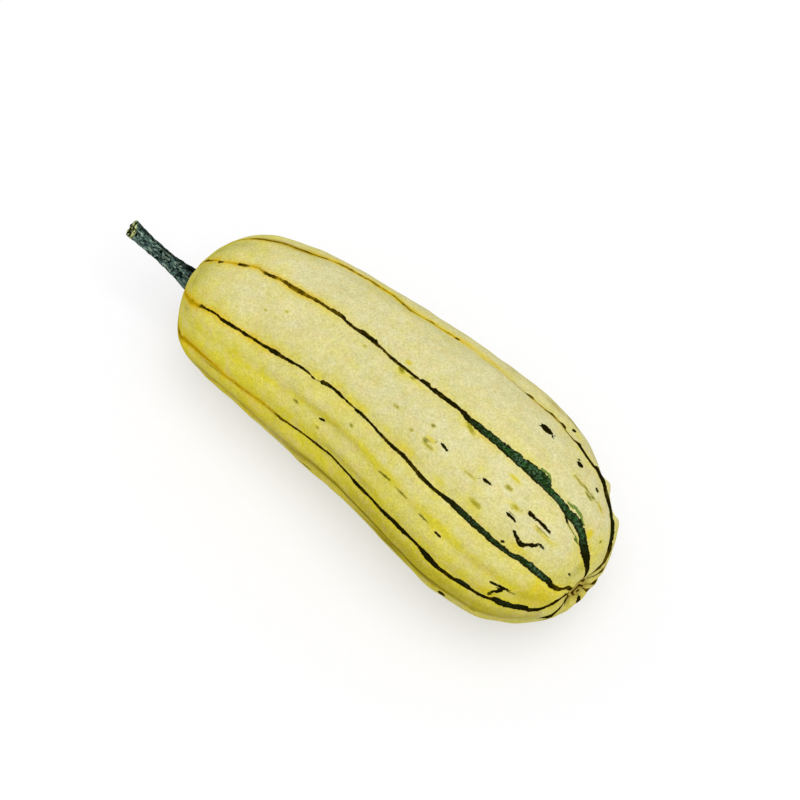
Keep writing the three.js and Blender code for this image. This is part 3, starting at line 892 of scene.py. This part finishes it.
def add_attribute(made, name, values):
    """Stores a number or a vector at every vertex. The two end points repeat their rings."""
    kind, field = ("FLOAT_VECTOR", "vector") if values.ndim == 3 else ("FLOAT", "value")
    flat = values.reshape(-1, *values.shape[2:])
    flat = np.concatenate([values[:1, 0], flat, values[-1:, 0]])
    layer = made.data.attributes.new(name, kind, "POINT")
    layer.data.foreach_set(field, flat.astype(np.float32).ravel())


def finish_piece(made, material, node):
    """Gives the piece its material and ties it to the CAD model."""
    made.data.materials.append(material)
    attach(made, "root")
    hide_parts(node)


# ---- node helpers -------------------------------------------------------------------------------


def arithmetic(operation, swapped=False):
    """A method that adds one Math node for an arithmetic sign."""
    return lambda self, other: self.wiring.math(
        operation, *((other, self) if swapped else (self, other)))


class Value:
    """A number, vector or colour in a node tree. Arithmetic with it adds Math nodes."""

    def __init__(self, wiring, socket):
        self.wiring, self.socket = wiring, socket

    __add__ = __radd__ = arithmetic("ADD")
    __mul__ = __rmul__ = arithmetic("MULTIPLY")
    __sub__ = arithmetic("SUBTRACT")
    __rsub__ = arithmetic("SUBTRACT", swapped=True)
    __truediv__ = arithmetic("DIVIDE")
    __pow__ = arithmetic("POWER")

    def __abs__(self):
        return self.wiring.math("ABSOLUTE", self)

    def clamped(self):
        """The same, kept between 0 and 1 by the Math node that it comes from."""
        self.socket.node.use_clamp = True
        return self

    def step(self, low, high):
        """0 below low, 1 above high, smooth between them."""
        return self.wiring.value(
            "ShaderNodeMapRange", {"Value": self, "From Min": low, "From Max": high},
            interpolation_type="SMOOTHSTEP")


class Wiring:
    """Adds nodes to a tree and wires them. An input is a number, a tuple, a socket or a Value."""

    def __init__(self, tree):
        self.tree = tree
        self.column = 0

    def feed(self, socket, value):
        """Links or sets one input. Three numbers for a colour get an alpha of 1."""
        value = getattr(value, "socket", value)
        if isinstance(value, bpy.types.NodeSocket):
            self.tree.links.new(value, socket)
        elif hasattr(value, "__len__") and len(value) == 3 and socket.type == "RGBA":
            socket.default_value = (*value, 1)
        else:
            socket.default_value = value

    def add(self, kind, inputs=(), **settings):
        """A new node with these inputs and settings, laid out in rows of twelve."""
        node = self.tree.nodes.new(kind)
        self.column += 1
        node.location = (200 * (self.column % 12), -160 * (self.column // 12))
        for name, value in settings.items():
            setattr(node, name, value)
        for key, value in dict(inputs).items():
            self.feed(node.inputs[key], value)
        return node

    def value(self, kind, inputs=(), output=0, **settings):
        """One output of a new node, as a Value."""
        return Value(self, self.add(kind, inputs, **settings).outputs[output])

    def math(self, operation, *values):
        """One Math node."""
        return self.value("ShaderNodeMath", enumerate(values), operation=operation)

    def mix(self, amount, first, second, blend="MIX"):
        """Colour mixed from first towards second."""
        return self.value(
            "ShaderNodeMix", {0: amount, 6: first, 7: second}, 2,
            data_type="RGBA", blend_type=blend, clamp_factor=True)

    def noise(self, position, size, detail=2.0, roughness=0.5):
        """Noise from 0 to 1 whose features are about this many millimetres across."""
        inputs = {"Vector": position, "Detail": detail, "Roughness": roughness}
        return self.value("ShaderNodeTexNoise", {**inputs, "Scale": 1 / MM / size})

    def number(self, name):
        """An attribute that holds one number."""
        return self.value("ShaderNodeAttribute", output="Fac", attribute_name=name)

    def vector(self, name):
        """The three numbers of an attribute that holds a vector."""
        held = self.value("ShaderNodeAttribute", output="Vector", attribute_name=name)
        parts = self.add("ShaderNodeSeparateXYZ", {"Vector": held})
        return [Value(self, part) for part in parts.outputs]

    def position(self):
        """Object coordinates, in metres."""
        return self.value("ShaderNodeTexCoord", output="Object")

    def drawn_out(self, position, times):
        """The position with its x squeezed, so that patterns come out longer along the fruit."""
        return self.value("ShaderNodeMapping", {"Vector": position, "Scale": (1 / times, 1, 1)})

    def use(self, maker, **inputs):
        """The outputs of a shared group by name. Its inputs are named in small letters here."""
        node = self.add("ShaderNodeGroup", node_tree=shared_group(maker))
        for key, value in inputs.items():
            self.feed(node.inputs[key.replace("_", " ").title()], value)
        return {output.name: Value(self, output) for output in node.outputs}

    def blotches(self, position, size, coverage, softness):
        """Mask of scattered blotches about this many millimetres across."""
        return self.use(blotches_group, position=position, scale=1 / MM / size,
                        coverage=coverage, softness=softness)["Mask"]

    def shaded(self, colour, *shades):
        """The colour times a shade of its own in red, green and blue."""
        shade = self.value("ShaderNodeCombineColor", enumerate(shades))
        return self.mix(1.0, colour, shade, "MULTIPLY")

    def finish(self, shader, colour, roughness, height, distance, strength):
        """Feeds the shader's colour and roughness, and bumps its normal by the height."""
        self.feed(shader.inputs["Base Color"], colour)
        self.feed(shader.inputs["Roughness"], roughness)
        bump = {"Height": height, "Distance": distance, "Strength": strength}
        self.feed(shader.inputs["Normal"], self.value("ShaderNodeBump", bump))
        self.feed(shader.inputs["Specular IOR Level"], 0)


def new_group(name, inputs, outputs):
    """An empty node group with a position, these inputs and these outputs, all of them numbers.
    Gives its wiring, its inputs as values and its output sockets."""
    tree = bpy.data.node_groups.new(name, "ShaderNodeTree")
    tree.interface.new_socket("Position", in_out="INPUT", socket_type="NodeSocketVector")
    for side, labels in (("INPUT", inputs), ("OUTPUT", outputs)):
        for label in labels:
            tree.interface.new_socket(label, in_out=side, socket_type="NodeSocketFloat")
    wiring = Wiring(tree)
    source = wiring.add("NodeGroupInput").outputs
    target = wiring.add("NodeGroupOutput").inputs
    return wiring, {socket.name: Value(wiring, socket) for socket in source}, target


def ragged_mark_group():
    """Mask of a mark with uneven edges: 1 where the distance from its middle line, made uneven by
    two noises, is under its half width. Distances are millimetres. Gap keeps it near the mark."""
    wiring, source, target = new_group(
        "Ragged mark", ("Distance", "Gap", "Half Width", "Ragged", "Blur"), ("Mask", "Depth"))
    position, half, blur = source["Position"], source["Half Width"], source["Blur"]
    coarse = wiring.noise(position, 2.2, 2, 0.6) - 0.5
    fine = wiring.noise(position, 0.9, 1) - 0.5
    inside = half - abs(source["Distance"])
    depth = (fine * 1.3 + coarse * 2.0) * source["Ragged"] + inside
    near = wiring.math("LESS_THAN", source["Gap"] - half, 1.3)
    wiring.feed(target["Mask"], depth.step(blur * -1.0, blur) * near)
    wiring.feed(target["Depth"], depth)
    return wiring.tree


def blotches_group():
    """Mask of scattered blotches: noise above a threshold that falls as the coverage rises."""
    wiring, source, target = new_group("Blotches", ("Scale", "Coverage", "Softness"), ("Mask",))
    softness = source["Softness"]
    noise = wiring.value("ShaderNodeTexNoise", {
        "Vector": source["Position"], "Scale": source["Scale"], "Detail": 3.0, "Roughness": 0.6})
    above = noise - (source["Coverage"] * -0.5 + 0.75)
    wiring.feed(target["Mask"], above.step(softness * -1.0, softness))
    return wiring.tree


def plant_skin_group():
    """Uneven light and dark of a plant's skin: a broad mottle, a mid one and a fine stipple, each
    a noise about 1, multiplied together; and the same noises as a height."""
    labels = ("Broad", "Middle", "Fine")
    wiring, source, target = new_group("Plant skin", labels, ("Shade", "Height"))
    shade, height = 1.0, 0.0
    for label, size, rise in zip(labels, (14.0, 3.2, 0.8), (0.2, 0.5, 1.0)):
        noise = wiring.noise(source["Position"], size, 2, 0.55) - 0.5
        shade = (noise * source[label] + 1.0) * shade
        height = noise * rise + height
    wiring.feed(target["Shade"], shade)
    wiring.feed(target["Height"], height)
    return wiring.tree


def shared_group(maker):
    """The group that this function makes, made once."""
    key = "squash_" + maker.__name__
    if key not in bpy.data.node_groups:
        tree = maker()
        tree.name = key
    return bpy.data.node_groups[key]


def new_material(name):
    """A material with an empty node tree, its wiring and its shader."""
    material = bpy.data.materials.new(name)
    material.use_nodes = True
    material.node_tree.nodes.clear()
    wiring = Wiring(material.node_tree)
    shader = wiring.add("ShaderNodeBsdfPrincipled")
    wiring.add("ShaderNodeOutputMaterial", {"Surface": shader.outputs[0]})
    return material, wiring, shader


def seen_directly(wiring):
    """1 for rays from the camera, in reflections and through glass, and 0 for light's own paths."""
    path = wiring.add("ShaderNodeLightPath").outputs
    glossy_or_through = wiring.math("MAXIMUM", path["Is Glossy Ray"], path["Is Transmission Ray"])
    return wiring.math("MAXIMUM", path["Is Camera Ray"], glossy_or_through)


# ---- materials ----------------------------------------------------------------------------------


def rind_ground(wiring, settings, position, skin):
    """The ground of the rind: cream to yellow, a blush, then orange, olive and green tints, the
    spot that it lay on, and the mottle. The olive tint is partly the rind's own smears and partly
    painted shade."""
    yellow, orange, olive = wiring.vector("tints")
    drawn_out = wiring.drawn_out(position, 1.3)
    drift = wiring.noise(drawn_out, 15, 2, 0.6) - 0.5
    spots = wiring.noise(position, 4, 3, 0.65) - 0.5
    patchy = (spots * 0.9 + (drift * 0.85 + yellow)).clamped()
    ground = wiring.mix(patchy, settings.cream, settings.yellow)
    blush = wiring.noise(drawn_out, 5, 2, 0.6).step(0.5, 0.66)
    patchy_orange = (orange * (drift * 2.0 + 0.75)).clamped()
    for amount, tint in (
        (blush * 0.35, linear(*BLUSH)),
        (patchy_orange, settings.orange),
        # olive: partly the rind's own smears, partly painted shade low on the flanks and in the
        # creases
        (olive, settings.olive),
        (wiring.number("green"), settings.green),
        (wiring.number("ground_spot"), linear(*GROUND_SPOT)),
    ):
        ground = wiring.mix(amount, ground, tint)
    shade = skin["Shade"]
    return wiring.shaded(ground, shade, shade, shade**1.6)


def rind_flecks(wiring, settings, position, ground):
    """The flecks laid on the ground: ragged ovals, the olive and yellow ones softer, with a halo.
    Gives the colour and the mask."""
    along, across, beyond = wiring.vector("fleck_place")
    half_length, half_width, tone = wiring.vector("fleck_size")
    power = 2.4
    oval = (abs(along / half_length) ** power + abs(across / half_width) ** power) ** (1 / power)
    distance = oval * half_width
    olive = tone.step(0.2, 1.0)
    roughness = (half_width * 0.55 + 0.35).clamped()
    mark = wiring.use(
        ragged_mark_group, position=position, distance=distance, gap=beyond * 2.6 + half_width,
        half_width=half_width, ragged=roughness * (settings.ragged_edge / MM * 1.4),
        blur=olive * 0.4 + 0.12)["Mask"]
    halo = (distance - half_width).step(0.9, 0.0) * (olive * 0.3)
    ground = wiring.mix(halo, ground, settings.yellow)
    colour = settings.stripe_dark
    for amount, tint in (
        (olive, OLIVE_FLECK),
        (tone.step(1.0, 2.0), YELLOW_FLECK),
        (tone.step(0.0, -1.0), GREEN_FLECK),
    ):
        colour = wiring.mix(amount, colour, linear(*tint))
    return wiring.mix(mark * (abs(tone) * -0.1 + 1.0), ground, colour), mark


def rind_stripes(wiring, settings, position, ground):
    """The stripes laid on the ground: a yellow-brown middle line under brown, then brown-black as
    the tone rises, and mottled green inside the widest ones, on their lit side only, so that their
    other side stays dark as painted shade. Gives the colour and the mask."""
    across, gap, half_width = wiring.vector("stripe")
    tone = wiring.number("stripe_tone")
    drawn_out = wiring.drawn_out(position, 1.3)
    coarseness = half_width.step(0.8, 2.0) * 0.8 + 1.0
    mark = wiring.use(
        ragged_mark_group, position=drawn_out, distance=across, gap=gap, half_width=half_width,
        ragged=coarseness * (settings.ragged_edge / MM), blur=tone.step(0.0, 0.8) * -0.5 + 0.62)
    mask, depth = mark["Mask"], mark["Depth"]
    uneven_tone = (wiring.noise(drawn_out, 2.4, 3, 0.6) - 0.54) * 1.2 + tone
    # Painted light: the green and its light mottle show only on the lit side of each wide stripe.
    lit_side = (across / wiring.math("MAXIMUM", half_width, 0.3)).step(-1.1, -0.1)
    green = tone.step(1.0, 2.0) * (lit_side * depth.step(0.12, 0.55))
    mottle = wiring.blotches(position, 0.95, 0.46, 0.09) * green
    fresh = wiring.blotches(drawn_out, 2.6, 0.46, 0.1)
    light = wiring.mix(fresh, settings.stripe_light, linear(*STRIPE_FRESH))
    colour = settings.stripe_brown
    for amount, tint in (
        (depth.step(0.1, 0.9) * 0.5, linear(*STRIPE_CORE)),
        (uneven_tone.step(0.1, 0.6), linear(*STRIPE_MIDDLE)),
        (uneven_tone.step(0.5, 1.0), settings.stripe_dark),
        (green, settings.stripe_green),
        (mottle * 0.8, light),
    ):
        colour = wiring.mix(amount, colour, tint)
    return wiring.mix(mask, ground, colour), mask


def rind_material(settings):
    """The rind: ground, flecks, stripes and scar, laid over one another in that order."""
    material, wiring, shader = new_material("delicata_rind")
    position = wiring.position()
    skin = wiring.use(plant_skin_group, position=position, broad=0.16, middle=0.26, fine=0.62)
    scar = wiring.number("scar")
    ground = rind_ground(wiring, settings, position, skin)
    ground, fleck_mask = rind_flecks(wiring, settings, position, ground)
    ground, stripe_mask = rind_stripes(wiring, settings, position, ground)

    cork = wiring.blotches(position, 1.1, 0.5, 0.12)
    rings = wiring.math("SINE", wiring.number("scar_reach") * 3.22 - 2.77)
    cork_colour = wiring.mix(
        (cork * 0.8 + rings).step(-0.2, 1.1), settings.scar_brown, settings.scar_tan)
    ground = wiring.mix(scar, ground, cork_colour)

    covered = wiring.math("MAXIMUM", stripe_mask, fleck_mask)
    height = skin["Height"]
    rough = (scar * 0.3 + (covered * -0.06 + (height * 0.2 + 0.58))).clamped()
    height = cork * scar * 4.0 + (covered * -0.5 + height)
    wiring.finish(shader, ground, rough, height, settings.grain_height, 0.8)
    return material


def stem_material(settings):
    """The stem: dark hollows, grey bark, pale crests and patches, a pale blotched cut end, and
    painted shade at the foot, on its shaded side and along the far edge.
    """
    material, wiring, shader = new_material("delicata_stem")
    position = wiring.position()
    drawn_out = wiring.drawn_out(position, 2.2)
    skin = wiring.use(plant_skin_group, position=drawn_out, broad=0.5, middle=0.6, fine=0.7)
    # The third number of bark is painted shade.
    rise, cut_end, shaded = wiring.vector("bark")
    crest = rise.step(0.2, 1.0)
    grey = (wiring.blotches(drawn_out, 1.05, 0.53, 0.08) * (crest * 0.6 + 0.45)).clamped()
    pale = wiring.blotches(drawn_out, 0.75, 0.34, 0.06) * (crest * 0.5 + 0.4)
    base = wiring.mix(grey, settings.dark, settings.grey)
    base = wiring.mix(pale, base, settings.pale)
    cut = wiring.mix(wiring.blotches(position, 2.0, 0.54, 0.05), settings.cut, settings.blotch)
    uneven = (wiring.noise(position, 1.6, 2) - 0.5) * 1.2 + cut_end
    base = wiring.mix(uneven.step(0.35, 0.65), base, cut)
    base = wiring.shaded(base, *[skin["Shade"]] * 3)
    # Painted shade, near black, at the foot, on the shaded side near the foot and along the far
    # edge.
    base = wiring.mix(shaded, base, tuple(v * 0.25 for v in settings.dark))
    rough = (skin["Height"] * 0.3 + 0.66).clamped()
    wiring.finish(shader, base, rough, skin["Height"], 0.0005, 0.9)
    return material


def floor_material(settings):
    """The floor: white to the camera and in reflections, where a share of its brightness is the
    light that really falls on it, so that the shadow stays. It lights the object in its colour."""
    material, wiring, shader = new_material("stage_floor")
    output = next(n for n in material.node_tree.nodes if n.type == "OUTPUT_MATERIAL")
    wiring.feed(shader.inputs["Base Color"], settings.floor)
    wiring.feed(shader.inputs["Roughness"], 1)
    wiring.feed(shader.inputs["Specular IOR Level"], 0)
    glow = wiring.value("ShaderNodeEmission", {"Color": (1, 1, 1), "Strength": 1.0})
    plain = wiring.value("ShaderNodeBsdfDiffuse", {"Color": (1, 1, 1.04)})
    seen = wiring.value("ShaderNodeMixShader", {0: settings.shadow_share, 1: glow, 2: plain})
    parts = {0: seen_directly(wiring), 1: shader.outputs[0], 2: seen}
    wiring.feed(output.inputs["Surface"], wiring.value("ShaderNodeMixShader", parts))
    return material


# ---- operators ----------------------------------------------------------------------------------


class SQUASH_OT_fruit(Operator):
    """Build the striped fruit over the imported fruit"""

    bl_idname = "squash.fruit"
    bl_label = "Fruit"

    def execute(self, context):
        settings = context.scene.squash_fruit
        columns = RIBS * COLUMNS_PER_RIB
        rib = np.tile(np.arange(columns) / COLUMNS_PER_RIB, (RINGS, 1))
        along, swell, travelled = (
            np.repeat(values[:, None], columns, 1) for values in ring_stations(RINGS))

        plain = skin_points(settings, along, swell, travelled, rib, 0).reshape(-1, 3)
        plain = set_on_ground(plain)
        shift = np.sum(FRUIT_BOX, 0) / MM / 2 - (plain.min(0) + plain.max(0)) / 2
        shift[2] = 0
        context.scene["squash_shift"] = shift.tolist()

        points = set_on_ground(skin_points(settings, along, swell, travelled, rib, 1)) + shift
        nought = np.zeros((1, 1))
        poles = [skin_points(settings, nought + end, nought, nought, nought, 1) for end in (0, 1)]
        poles = [set_on_ground(pole)[0, 0] + shift for pole in poles]
        made = closed_grid("delicata_fruit", points, *poles)

        distance = bezier(GIRTH, along) * swell
        bearing, _, rib_angle = furrow_bearings(rib, along)
        rib_width = np.radians(rib_angle) * distance
        across, gap, half, tone = stripe_marks(settings, along, rib, rib_width)
        place, size = fleck_marks(travelled, along, rib, rib_width)
        tints, green = ground_tints(travelled, along, rib, distance, rib_width, gap, half)
        reach = scar_reach(distance, bearing)
        scar, ground_spot = place_masks(along, reach, points)
        for name, values in (
            ("stripe", np.stack([across, gap, half], -1)),
            ("stripe_tone", tone),
            ("fleck_place", place),
            ("fleck_size", size),
            ("tints", tints),
            ("green", green),
            ("scar_reach", reach),
            ("scar", scar),
            ("ground_spot", ground_spot),
        ):
            add_attribute(made, name, values)
        finish_piece(made, rind_material(settings), "fruit")
        return {"FINISHED"}


def stem_line(start, along):
    """A cubic Bezier line of three equal steps that turn evenly upwards. Gives points, headings."""
    angles = np.radians(STEM_ANGLES)
    steps = np.stack([-np.cos(angles), 0 * angles, np.sin(angles)], -1) * STEM_LENGTH / 3
    controls = np.concatenate([[start], start + np.cumsum(steps, 0)])
    t = along[..., None]
    points = bezier(controls, t)
    return points, unit(bezier(np.diff(controls, axis=0), t))


def stem_rings(settings, start, seat_normal, along, angle):
    """Points of the stem's side. Rings start flat on the fruit and turn square to the line; the
    radius has five ridges and finer grooves; near the tip the rings lean with the slanted cut."""
    points, tangent = stem_line(start, along)
    points = points + STEM_LEAN * smoothstep(along, STEM_LEAN_FROM, 1)[..., None]
    square = smoothstep(along, 0, STEM_SQUARE_FROM)[..., None]
    heading = unit(seat_normal * (1 - square) + tangent * square)
    side, rise = cross_frame(heading)
    ridge = STEM_RIDGE_SHARES[0] + (STEM_RIDGE_SHARES[1] - STEM_RIDGE_SHARES[0]) * along
    crest = np.cos(STEM_RIDGES * angle)
    radius = bezier(STEM_THICKNESS, along) / 2
    grooves = 0.5 * np.cos(3 * STEM_RIDGES * angle + 2 * np.sin(5 * along))
    knots = np.sin(31 * along + 3 * np.sin(2 * angle)) * np.sin(2 * angle + 9 * along + 1)
    knots += 0.6 * np.sin(67 * along + 2 * np.cos(3 * angle + 1)) * np.cos(4 * angle - 14 * along)
    bark = settings.bark_relief / MM * (grooves + knots) * 0.5 * smoothstep(along, 0, 0.1)
    reach = radius * (1 + settings.ridge_height * ridge * crest) + bark
    height, sideways = reach * np.cos(angle), reach * np.sin(angle)
    slant = smoothstep(along, STEM_SLANT_FROM, 1)
    slope = slant * (STEM_SLANT_UNDER * height + STEM_SLANT_SIDE * sideways)
    across = rise * height[..., None] + side * sideways[..., None]
    return points + across - heading * slope[..., None], crest, bark


def cut_face(edge, centre, heading, turn):
    """Rings of the cut end, from its edge in to its middle: a raised rim, pits and a low dish."""
    inner = np.linspace(0, 1, CUT_RINGS + 1)[1:-1][:, None, None]
    turn = turn[None, :, None]
    rim = 0.25 * bell(inner - 0.12, 0.1) * (1 + 0.8 * np.sin(7 * turn + 1))
    pits = 0.14 * np.sin(9 * turn) * np.sin(12 * inner)
    return edge + (centre - edge) * inner + heading * (rim + pits - 0.25 * (1 - bell(inner, 0.5)))


def bark_values(settings, along, angle, crest, bark):
    """For each vertex of the stem's side: height of the bark, how much it belongs to the cut end,
    and how much painted shade it gets: at the foot, on the shaded side near the foot and along the
    far edge. The cut end's pale rim is narrower on the shaded side, also painted shade."""
    height = np.clip(0.5 + 0.35 * crest + bark / (settings.bark_relief / MM + 1e-9), 0, 1)
    # turned is 1 on the shaded side, where the cut's pale rim is narrower as painted shade.
    turned = smoothstep(np.cos(angle + SHADED_SIDE), 0, 0.7)
    rim = [a + (b - a) * turned for a, b in zip(CUT_RIM_LIT, CUT_RIM_SHADED)]
    cut = smoothstep((along - 1) * STEM_LENGTH, *rim)
    shaded = smoothstep(np.cos(angle + SHADED_SIDE), 0.25, 0.7) * bell(along - 0.12, 0.16)
    far_edge = smoothstep(np.cos(angle + FAR_EDGE), 0.4, 0.88) * smoothstep(1 - along, 0.02, 0.1)
    dark = np.max([0.7 * bell(along, 0.03), 0.95 * shaded, 0.7 * far_edge], 0)
    return np.stack([height, cut, dark], -1)


class SQUASH_OT_stem(Operator):
    """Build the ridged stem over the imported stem"""

    bl_idname = "squash.stem"
    bl_label = "Stem"

    def execute(self, context):
        settings = context.scene.squash_stem
        place = np.array(context.scene["squash_shift"]) - [0, 0, GROUND_SPOT_CUT]
        centre, ahead, _, _ = core_frame(np.array(0.0))
        seat = ahead * settings.seat_depth / MM
        start = centre + ahead * STEM_DISH[0]
        turn = np.arange(STEM_COLUMNS) * 2 * np.pi / STEM_COLUMNS
        along, angle = np.meshgrid(np.linspace(0, 1, STEM_RINGS), turn, indexing="ij")
        rings, crest, bark = stem_rings(settings, start, -ahead, along, angle)
        rings = rings + seat * bell(along, 0.02)[..., None]

        tip, heading = stem_line(start, np.array(1.0))
        cut_centre = tip + STEM_LEAN - heading * STEM_CUT_DISH
        rings = np.concatenate([rings, cut_face(rings[-1], cut_centre, heading, turn)])
        last = cut_centre - heading * 0.3
        made = closed_grid("delicata_stem", rings + place, start + seat + place, last + place)

        side = bark_values(settings, along, angle, crest, bark)
        end = np.zeros((CUT_RINGS - 1, STEM_COLUMNS, 3)) + [0.6, 1.0, 0.0]
        add_attribute(made, "bark", np.concatenate([side, end]))
        finish_piece(made, stem_material(settings), "stem")
        return {"FINISHED"}


class SQUASH_OT_stage(Operator):
    """Build the pale floor, the soft lights and the camera"""

    bl_idname = "squash.stage"
    bl_label = "Stage"

    def execute(self, context):
        scene = context.scene
        settings = scene.squash_stage
        mesh = bpy.data.meshes.new("stage_floor")
        corners = ((-1, -1), (1, -1), (1, 1), (-1, 1))
        corners = [(x * FLOOR_REACH, y * FLOOR_REACH, 0) for x, y in corners]
        mesh.from_pydata(corners, [], [range(4)])
        mesh.materials.append(floor_material(settings))
        floor = place_object("stage_floor", mesh)

        lamp = bpy.data.lights.new("key", "SUN")
        lamp.energy = settings.key_strength
        lamp.angle = settings.key_spread
        key = place_object("key", lamp)
        key.rotation_mode = "QUATERNION"
        key.rotation_quaternion = Vector(KEY_DIRECTION).to_track_quat("Z", "Y")

        scene.world = world = bpy.data.worlds.new("studio")
        world.use_nodes = True
        world.node_tree.nodes.clear()
        wiring = Wiring(world.node_tree)
        fill, white = (
            wiring.value("ShaderNodeBackground", {"Color": (1, 1, 1), "Strength": strength})
            for strength in (settings.sky_strength, 1.0))
        both = wiring.value("ShaderNodeMixShader", {0: seen_directly(wiring), 1: fill, 2: white})
        wiring.add("ShaderNodeOutputWorld", {"Surface": both})

        x, y, _ = np.array(scene["squash_shift"]) * MM
        azimuth, elevation = settings.azimuth, settings.elevation
        level = math.cos(elevation)
        back = Vector((
            math.sin(azimuth) * level, -math.cos(azimuth) * level, math.sin(elevation)))
        lens = bpy.data.cameras.new("camera")
        lens.lens = settings.lens
        lens.sensor_width = SENSOR_WIDTH
        lens.shift_x, lens.shift_y = PICTURE_SHIFT
        lens.clip_start, lens.clip_end = CLIP_RANGE
        camera = place_object("camera", lens)
        camera.location = Vector((x, y, LOOK_AT_HEIGHT)) + back * settings.distance
        camera.rotation_mode = "QUATERNION"
        camera.rotation_quaternion = back.to_track_quat("Z", "Y")
        scene.camera = camera
        scene.view_settings.view_transform = "Standard"
        return {"FINISHED"}


class SQUASH_PT_maker(Panel):
    """Lists the pieces of the squash and their settings"""

    bl_label = "Delicata Squash"
    bl_space_type = "VIEW_3D"
    bl_region_type = "UI"
    bl_category = "Squash"

    def draw(self, context):
        for name in SETTINGS:
            box = self.layout.box()
            box.operator("squash." + name)
            settings = getattr(context.scene, "squash_" + name)
            for label in settings.__annotations__:
                box.prop(settings, label)


SETTINGS = {"fruit": FruitSettings, "stem": StemSettings, "stage": StageSettings}

CLASSES = (*SETTINGS.values(), SQUASH_OT_fruit, SQUASH_OT_stem, SQUASH_OT_stage, SQUASH_PT_maker)


def register():
    for made in CLASSES:
        bpy.utils.register_class(made)
    for name, group in SETTINGS.items():
        setattr(bpy.types.Scene, "squash_" + name, PointerProperty(type=group))


def unregister():
    for name in SETTINGS:
        delattr(bpy.types.Scene, "squash_" + name)
    for made in reversed(CLASSES):
        bpy.utils.unregister_class(made)


def main():
    register()
    bpy.ops.squash.fruit()
    bpy.ops.squash.stem()
    bpy.ops.squash.stage()


if __name__ == "__main__":
    main()
